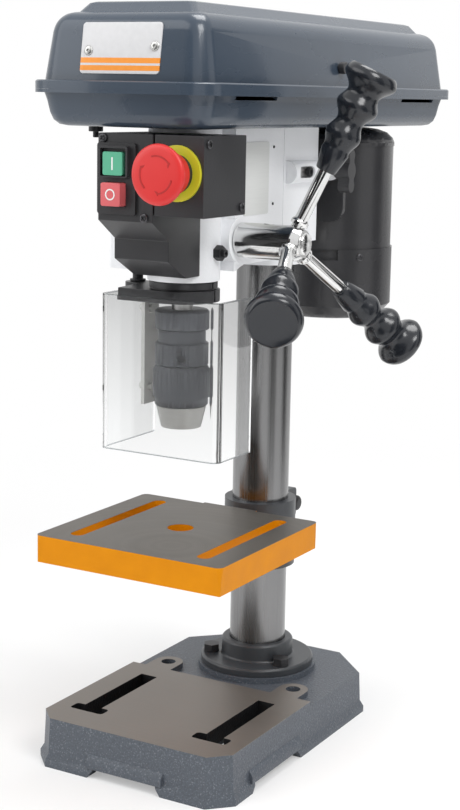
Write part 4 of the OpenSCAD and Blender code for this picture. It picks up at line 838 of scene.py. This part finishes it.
def makeArrow():
    shape = turnArrows
    arrow = startBox("turnArrow", (shape["width"], shape["height"], shape["start"]), (shape["radius"], 0, 0))
    pick(arrow, "FACE", lambda face, corners: face.normal.z > 0.9)
    sweep = math.radians(shape["sweep"])
    bpy.ops.mesh.spin(steps=shape["steps"], angle=-sweep, center=(0, 0, 0), axis=(0, 1, 0))
    bpy.ops.mesh.extrude_region_move()
    bpy.ops.transform.resize(value=(shape["barb"], 1, shape["barb"]))
    way = math.radians(shape["sweep"] + 90)
    tip = (shape["tip"] * math.cos(way), 0, shape["tip"] * math.sin(way))
    bpy.ops.mesh.extrude_region_move(TRANSFORM_OT_translate={"value": tip})
    bpy.ops.transform.resize(value=(shape["point"], 1, shape["point"]))
    bpy.ops.mesh.select_all(action="SELECT")
    bpy.ops.mesh.remove_doubles(threshold=closeBy)
    bpy.ops.mesh.normals_make_consistent(inside=False)
    bpy.ops.object.mode_set(mode="OBJECT")
    return arrow


def addArrows():
    arrow = makeArrow()
    for i in range(3):
        copy = twin(arrow, "turnArrow%d" % (i + 1))
        turnPiece(copy, turnArrows["first"] + 120 * i, "Y")
        movePiece(copy, frontOf("stop_mushroom", -turnArrows["sunk"]))
        finishEdges(copy)
        settle(copy, "stop_mushroom", "arrow")
    bpy.data.objects.remove(arrow)


addArrows()

# cross-recess screws in the housing, all alike
crossScrew = {
    "radius": 0.0031, "height": 0.0012, "sides": 28, "steps": ((0.0004, 0.0004), (0.0006, 0.0002)),
    "slot": (0.0038, 0.0009, 0.0014), "slotUp": 0.0006,
    "front": ((-0.0180, 0.4736), (0.0160, 0.4200)), "frontY": -0.2036, "frontTurn": 40,
    "side": ((-0.1970, 0.4715), (-0.1520, 0.4275)), "sideSunk": 0.001, "sideTurn": 15,
}


def makeCrossScrew(name):
    head = startDisc(name, crossScrew["radius"], crossScrew["height"], crossScrew["sides"])
    topStairs(head, crossScrew["steps"])
    crossing = startBox("crossing", crossScrew["slot"])
    other = twin(crossing, "crossing2")
    turnPiece(other, 90, "Z")
    for cutter in (crossing, other):
        movePiece(cutter, (0, 0, crossScrew["height"] / 2 + crossScrew["slotUp"]))
        cut = head.modifiers.new("cut", "BOOLEAN")
        cut.operation = "DIFFERENCE"
        cut.object = cutter
        cut.solver = "EXACT"
        onlyThis(head)
        bpy.ops.object.modifier_apply(modifier="cut")
        bpy.data.objects.remove(cutter)
    finishEdges(head)
    return head


def addHousingScrews():
    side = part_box("housing_screws")[1].x - crossScrew["sideSunk"]
    screw = makeCrossScrew("crossScrew")
    heads = []
    for x, z in crossScrew["front"]:
        head = twin(screw, "frontScrew")
        turnPiece(head, crossScrew["frontTurn"], "Z")
        turnPiece(head, 90, "X")
        movePiece(head, (x, crossScrew["frontY"], z))
        heads.append(head)
    for y, z in crossScrew["side"]:
        head = twin(screw, "sideScrew")
        turnPiece(head, crossScrew["sideTurn"], "Z")
        turnPiece(head, 90, "Y")
        movePiece(head, (side, y, z))
        heads.append(head)
    bpy.data.objects.remove(screw)
    standFor(joinAll(heads, "housingScrews"), "housing_screws", "screw")


addHousingScrews()

# the same screw once more, in the fan cover near its top
fanScrew = {"heading": 325, "below": 0.0065, "turn": 20}


def addFanScrew():
    low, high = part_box("fan_cover")
    heading = math.radians(fanScrew["heading"])
    reach = (high.x - low.x) / 2
    screw = makeCrossScrew("fanScrew")
    turnPiece(screw, fanScrew["turn"], "Z")
    turnPiece(screw, 90, "Y")
    turnPiece(screw, fanScrew["heading"], "Z")
    across = (low.x + high.x) / 2 + reach * math.cos(heading)
    forth = (low.y + high.y) / 2 + reach * math.sin(heading)
    movePiece(screw, (across, forth, high.z - fanScrew["below"]))
    settle(screw, nodes["fan_cover"]["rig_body"], "screw")


addFanScrew()

# turned grips on the spokes, swelling in rings; lengths and radii in metres
feedGrip = {
    "hub": 0.041, "tilt": 22.5, "turn": -11, "spoke": 0.137, "length": 0.079, "sleeve": 0.0174,
    "foot": 0.0076, "footEdge": 0.0008, "neck": 0.0106, "shoulder": 0.0016, "middle": 0.013, "end": 0.020,
    "crown": 0.007, "bulges": 2.5, "waist": 0.003, "rings": 40, "sides": 72,
    "rim": (  # inward from the end's radius, back from the tip
        (0.0004, 0.0048), (0.0008, 0.0036), (0.0014, 0.0023), (0.0022, 0.0011), (0.0030, 0.0004),
        (0.0036, 0.0), (0.0042, 0.0003), (0.0120, 0.0005),
    ),
}


def gripProfile():  # radius and place along the spoke
    grip = feedGrip
    tip = grip["spoke"]
    foot = tip - grip["length"]
    start = foot + grip["sleeve"]
    run = tip - grip["crown"] - start
    outline = [(grip["foot"] - grip["footEdge"], foot), (grip["foot"], foot + grip["footEdge"])]
    outline.append((grip["neck"], start - grip["shoulder"]))
    for ring in range(grip["rings"] + 1):
        part = ring / grip["rings"]
        swell = grip["middle"] + (grip["end"] - grip["middle"]) * part * part
        waist = math.cos(math.pi * grip["bulges"] * part) ** 2 * grip["waist"] * (1 + part)
        outline.append((swell - waist, start + run * part))
    return outline + [(grip["end"] - inward, tip - short) for inward, short in grip["rim"]]


def addGrips():
    low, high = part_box("feed_hub")
    root = (low.x + feedGrip["hub"], (low.y + high.y) / 2, (low.z + high.z) / 2)
    pattern = turnOutline("grip", gripProfile(), feedGrip["sides"])
    for i in range(3):
        grip = twin(pattern, "turnedGrip%d" % (i + 1))
        turnPiece(grip, feedGrip["tilt"], "Y")
        turnPiece(grip, feedGrip["turn"] - 120 * i, "X")
        movePiece(grip, root)
        standFor(grip, "feed_grip_%d" % (i + 1), "grip")
    bpy.data.objects.remove(pattern)


addGrips()

# stud with a knurled nut below the pan, in front on the left
panStud = {
    "at": (-0.046, -0.172, 0.4786), "nut": 0.0052, "nutHeight": 0.0032, "sides": 36, "knurl": 0.0002,
    "shank": 0.0021, "drop": 0.0038, "chamfer": 0.0004, "nutEdge": 0.0003,
}


def addPanStud():
    def everySecond(edge, ends):
        return abs(ends[0].z - ends[1].z) > panStud["nutHeight"] / 2 and edge.index % 2 == 0

    stud = startDisc("panStud", panStud["nut"], panStud["nutHeight"], panStud["sides"])
    roundEdges(stud, panStud["knurl"], 1, everySecond)
    turnPiece(stud, 180, "X")
    chamfer = panStud["chamfer"]
    inward = panStud["nut"] - panStud["shank"] - chamfer
    steps = [(chamfer, panStud["nutEdge"]), (inward, 0.0), (0.0, panStud["drop"]), (chamfer, chamfer)]
    topStairs(stud, steps)
    turnPiece(stud, 180, "X")
    finishEdges(stud)
    movePiece(stud, panStud["at"])
    settle(stud, "stand", "oxide")


addPanStud()
print("small pieces added")

# camera as fitted to the view: place in metres, angles in degrees
cameraPlace = {
    "at": (0.6169, -1.1260, 0.5057), "yaw": 29.199, "pitch": 10.554, "roll": -1.164,
    "lens": 71.125, "shift": (-0.0239, -0.0168),
}


def addCamera():
    yaw, pitch, roll = (math.radians(cameraPlace[key]) for key in ("yaw", "pitch", "roll"))
    right = Vector((math.cos(yaw), math.sin(yaw), 0))
    ahead = Vector((-math.sin(yaw) * math.cos(pitch), math.cos(yaw) * math.cos(pitch), -math.sin(pitch)))
    down = ahead.cross(right)
    side = right * math.cos(roll) + down * math.sin(roll)
    low = down * math.cos(roll) - right * math.sin(roll)
    lens = bpy.data.cameras.new("camera")
    lens.sensor_width = 36
    lens.lens = cameraPlace["lens"]
    lens.shift_x, lens.shift_y = cameraPlace["shift"]
    lens.clip_start = 0.05
    camera = bpy.data.objects.new("camera", lens)
    bpy.context.scene.collection.objects.link(camera)
    turn = Matrix((side, -low, -ahead)).transposed().to_4x4()
    camera.matrix_world = Matrix.Translation(Vector(cameraPlace["at"])) @ turn
    bpy.context.scene.camera = camera


addCamera()
print("camera set")

# soft lamps, a pale sky, and dark cards that only mirrors see: heading and width in degrees, grey
studio = {
    "sky": 0.55, "seenSky": 1.0,
    "lamps": [
        {"at": (-1.2, -1.7, 1.5), "aim": (0, -0.05, 0.32), "size": 2.4, "power": 31},
        {"at": (1.4, -0.7, 1.7), "aim": (0, -0.05, 0.35), "size": 0.8, "power": 20},
        {"at": (0.2, 0.3, 1.9), "aim": (0, -0.05, 0.3), "size": 0.8, "power": 15},
    ],
    "cardReach": 0.9, "cardTall": 1.0, "cardMiddle": 0.45,
    "cards": [
        {"heading": 264.7, "width": 50, "grey": 0.006},
        {"heading": 338.7, "width": 30, "grey": 0.14},
        {"heading": 38.7, "width": 24, "grey": 0.02},
    ],
}


def lookAt(obj, place, aim):
    obj.location = place
    obj.rotation_euler = (Vector(aim) - Vector(place)).to_track_quat("-Z", "Y").to_euler()


def addLamps():
    for i, lamp in enumerate(studio["lamps"]):
        light = bpy.data.lights.new("lamp%d" % i, "AREA")
        light.size = lamp["size"]
        light.energy = lamp["power"]
        holder = bpy.data.objects.new("lamp%d" % i, light)
        bpy.context.scene.collection.objects.link(holder)
        lookAt(holder, lamp["at"], lamp["aim"])


def addSky():
    world = bpy.data.worlds.new("studio")
    bpy.context.scene.world = world
    world.use_nodes = True
    tree = world.node_tree
    rays = tree.nodes.new("ShaderNodeLightPath")
    seen = rays.outputs["Is Camera Ray"]
    for kind in ("Is Glossy Ray", "Is Transmission Ray"):
        either = tree.nodes.new("ShaderNodeMath")
        either.operation = "MAXIMUM"
        tree.links.new(seen, either.inputs[0])
        tree.links.new(rays.outputs[kind], either.inputs[1])
        seen = either.outputs[0]
    level = tree.nodes.new("ShaderNodeMapRange")
    level.inputs[3].default_value = studio["sky"]
    level.inputs[4].default_value = studio["seenSky"]
    tree.links.new(seen, level.inputs[0])
    background = tree.nodes["Background"]
    background.inputs[0].default_value = tone(1, 1, 1)
    tree.links.new(level.outputs[0], background.inputs[1])


def addCards():
    reach, middle = studio["cardReach"], studio["cardMiddle"]
    for i, flag in enumerate(studio["cards"]):
        bpy.ops.object.select_all(action="DESELECT")
        bpy.ops.mesh.primitive_plane_add(size=1)
        card = bpy.context.object
        card.name = "flag%d" % i
        heading = math.radians(flag["heading"])
        card.scale = (2 * reach * math.tan(math.radians(flag["width"] / 2)), studio["cardTall"], 1)
        lookAt(card, (reach * math.cos(heading), reach * math.sin(heading), middle), (0, 0, middle))
        looks = {"Base Color": tone(flag["grey"], flag["grey"], flag["grey"]), "Roughness": 1.0}
        card.data.materials.append(Paint("flagGrey%d" % i, **looks).material)
        card.visible_camera = False
        card.visible_diffuse = False
        card.visible_shadow = False
        card.visible_transmission = False


# pale floor that keeps the shadow near the machine and glows white further out
floorPaint = {
    "size": 14, "near": 0.35, "far": 1.1, "leastGlow": 0.35,
    "looks": {"Base Color": tone(0.92, 0.92, 0.92), "Roughness": 0.9, "Specular IOR Level": 0.1},
}


def addFloor():
    bpy.ops.object.select_all(action="DESELECT")
    bpy.ops.mesh.primitive_plane_add(size=floorPaint["size"])
    floor = bpy.context.object
    floor.name = "floor"
    paint = Paint("floorWhite", **floorPaint["looks"])
    reach = paint.add("VectorMath", {"operation": "LENGTH"}, {0: paint.place()}, out="Value")
    far = paint.steps(reach, floorPaint["near"], floorPaint["far"])
    least = floorPaint["leastGlow"]
    share = paint.add("LightPath", out="Is Camera Ray") * (least + far * (1 - least))
    glow = paint.add("Emission", None, {"Strength": 1.0})
    blend = paint.add("MixShader", None, {0: share, 1: Wire(paint, paint.shader.outputs[0]), 2: glow})
    paint.plug(paint.tree.nodes["Material Output"].inputs["Surface"], blend)
    floor.data.materials.append(paint.material)


addLamps()
addSky()
addCards()
addFloor()
bpy.context.scene.view_settings.view_transform = "Standard"
print("studio lit")

bpy.context.view_layer.update()
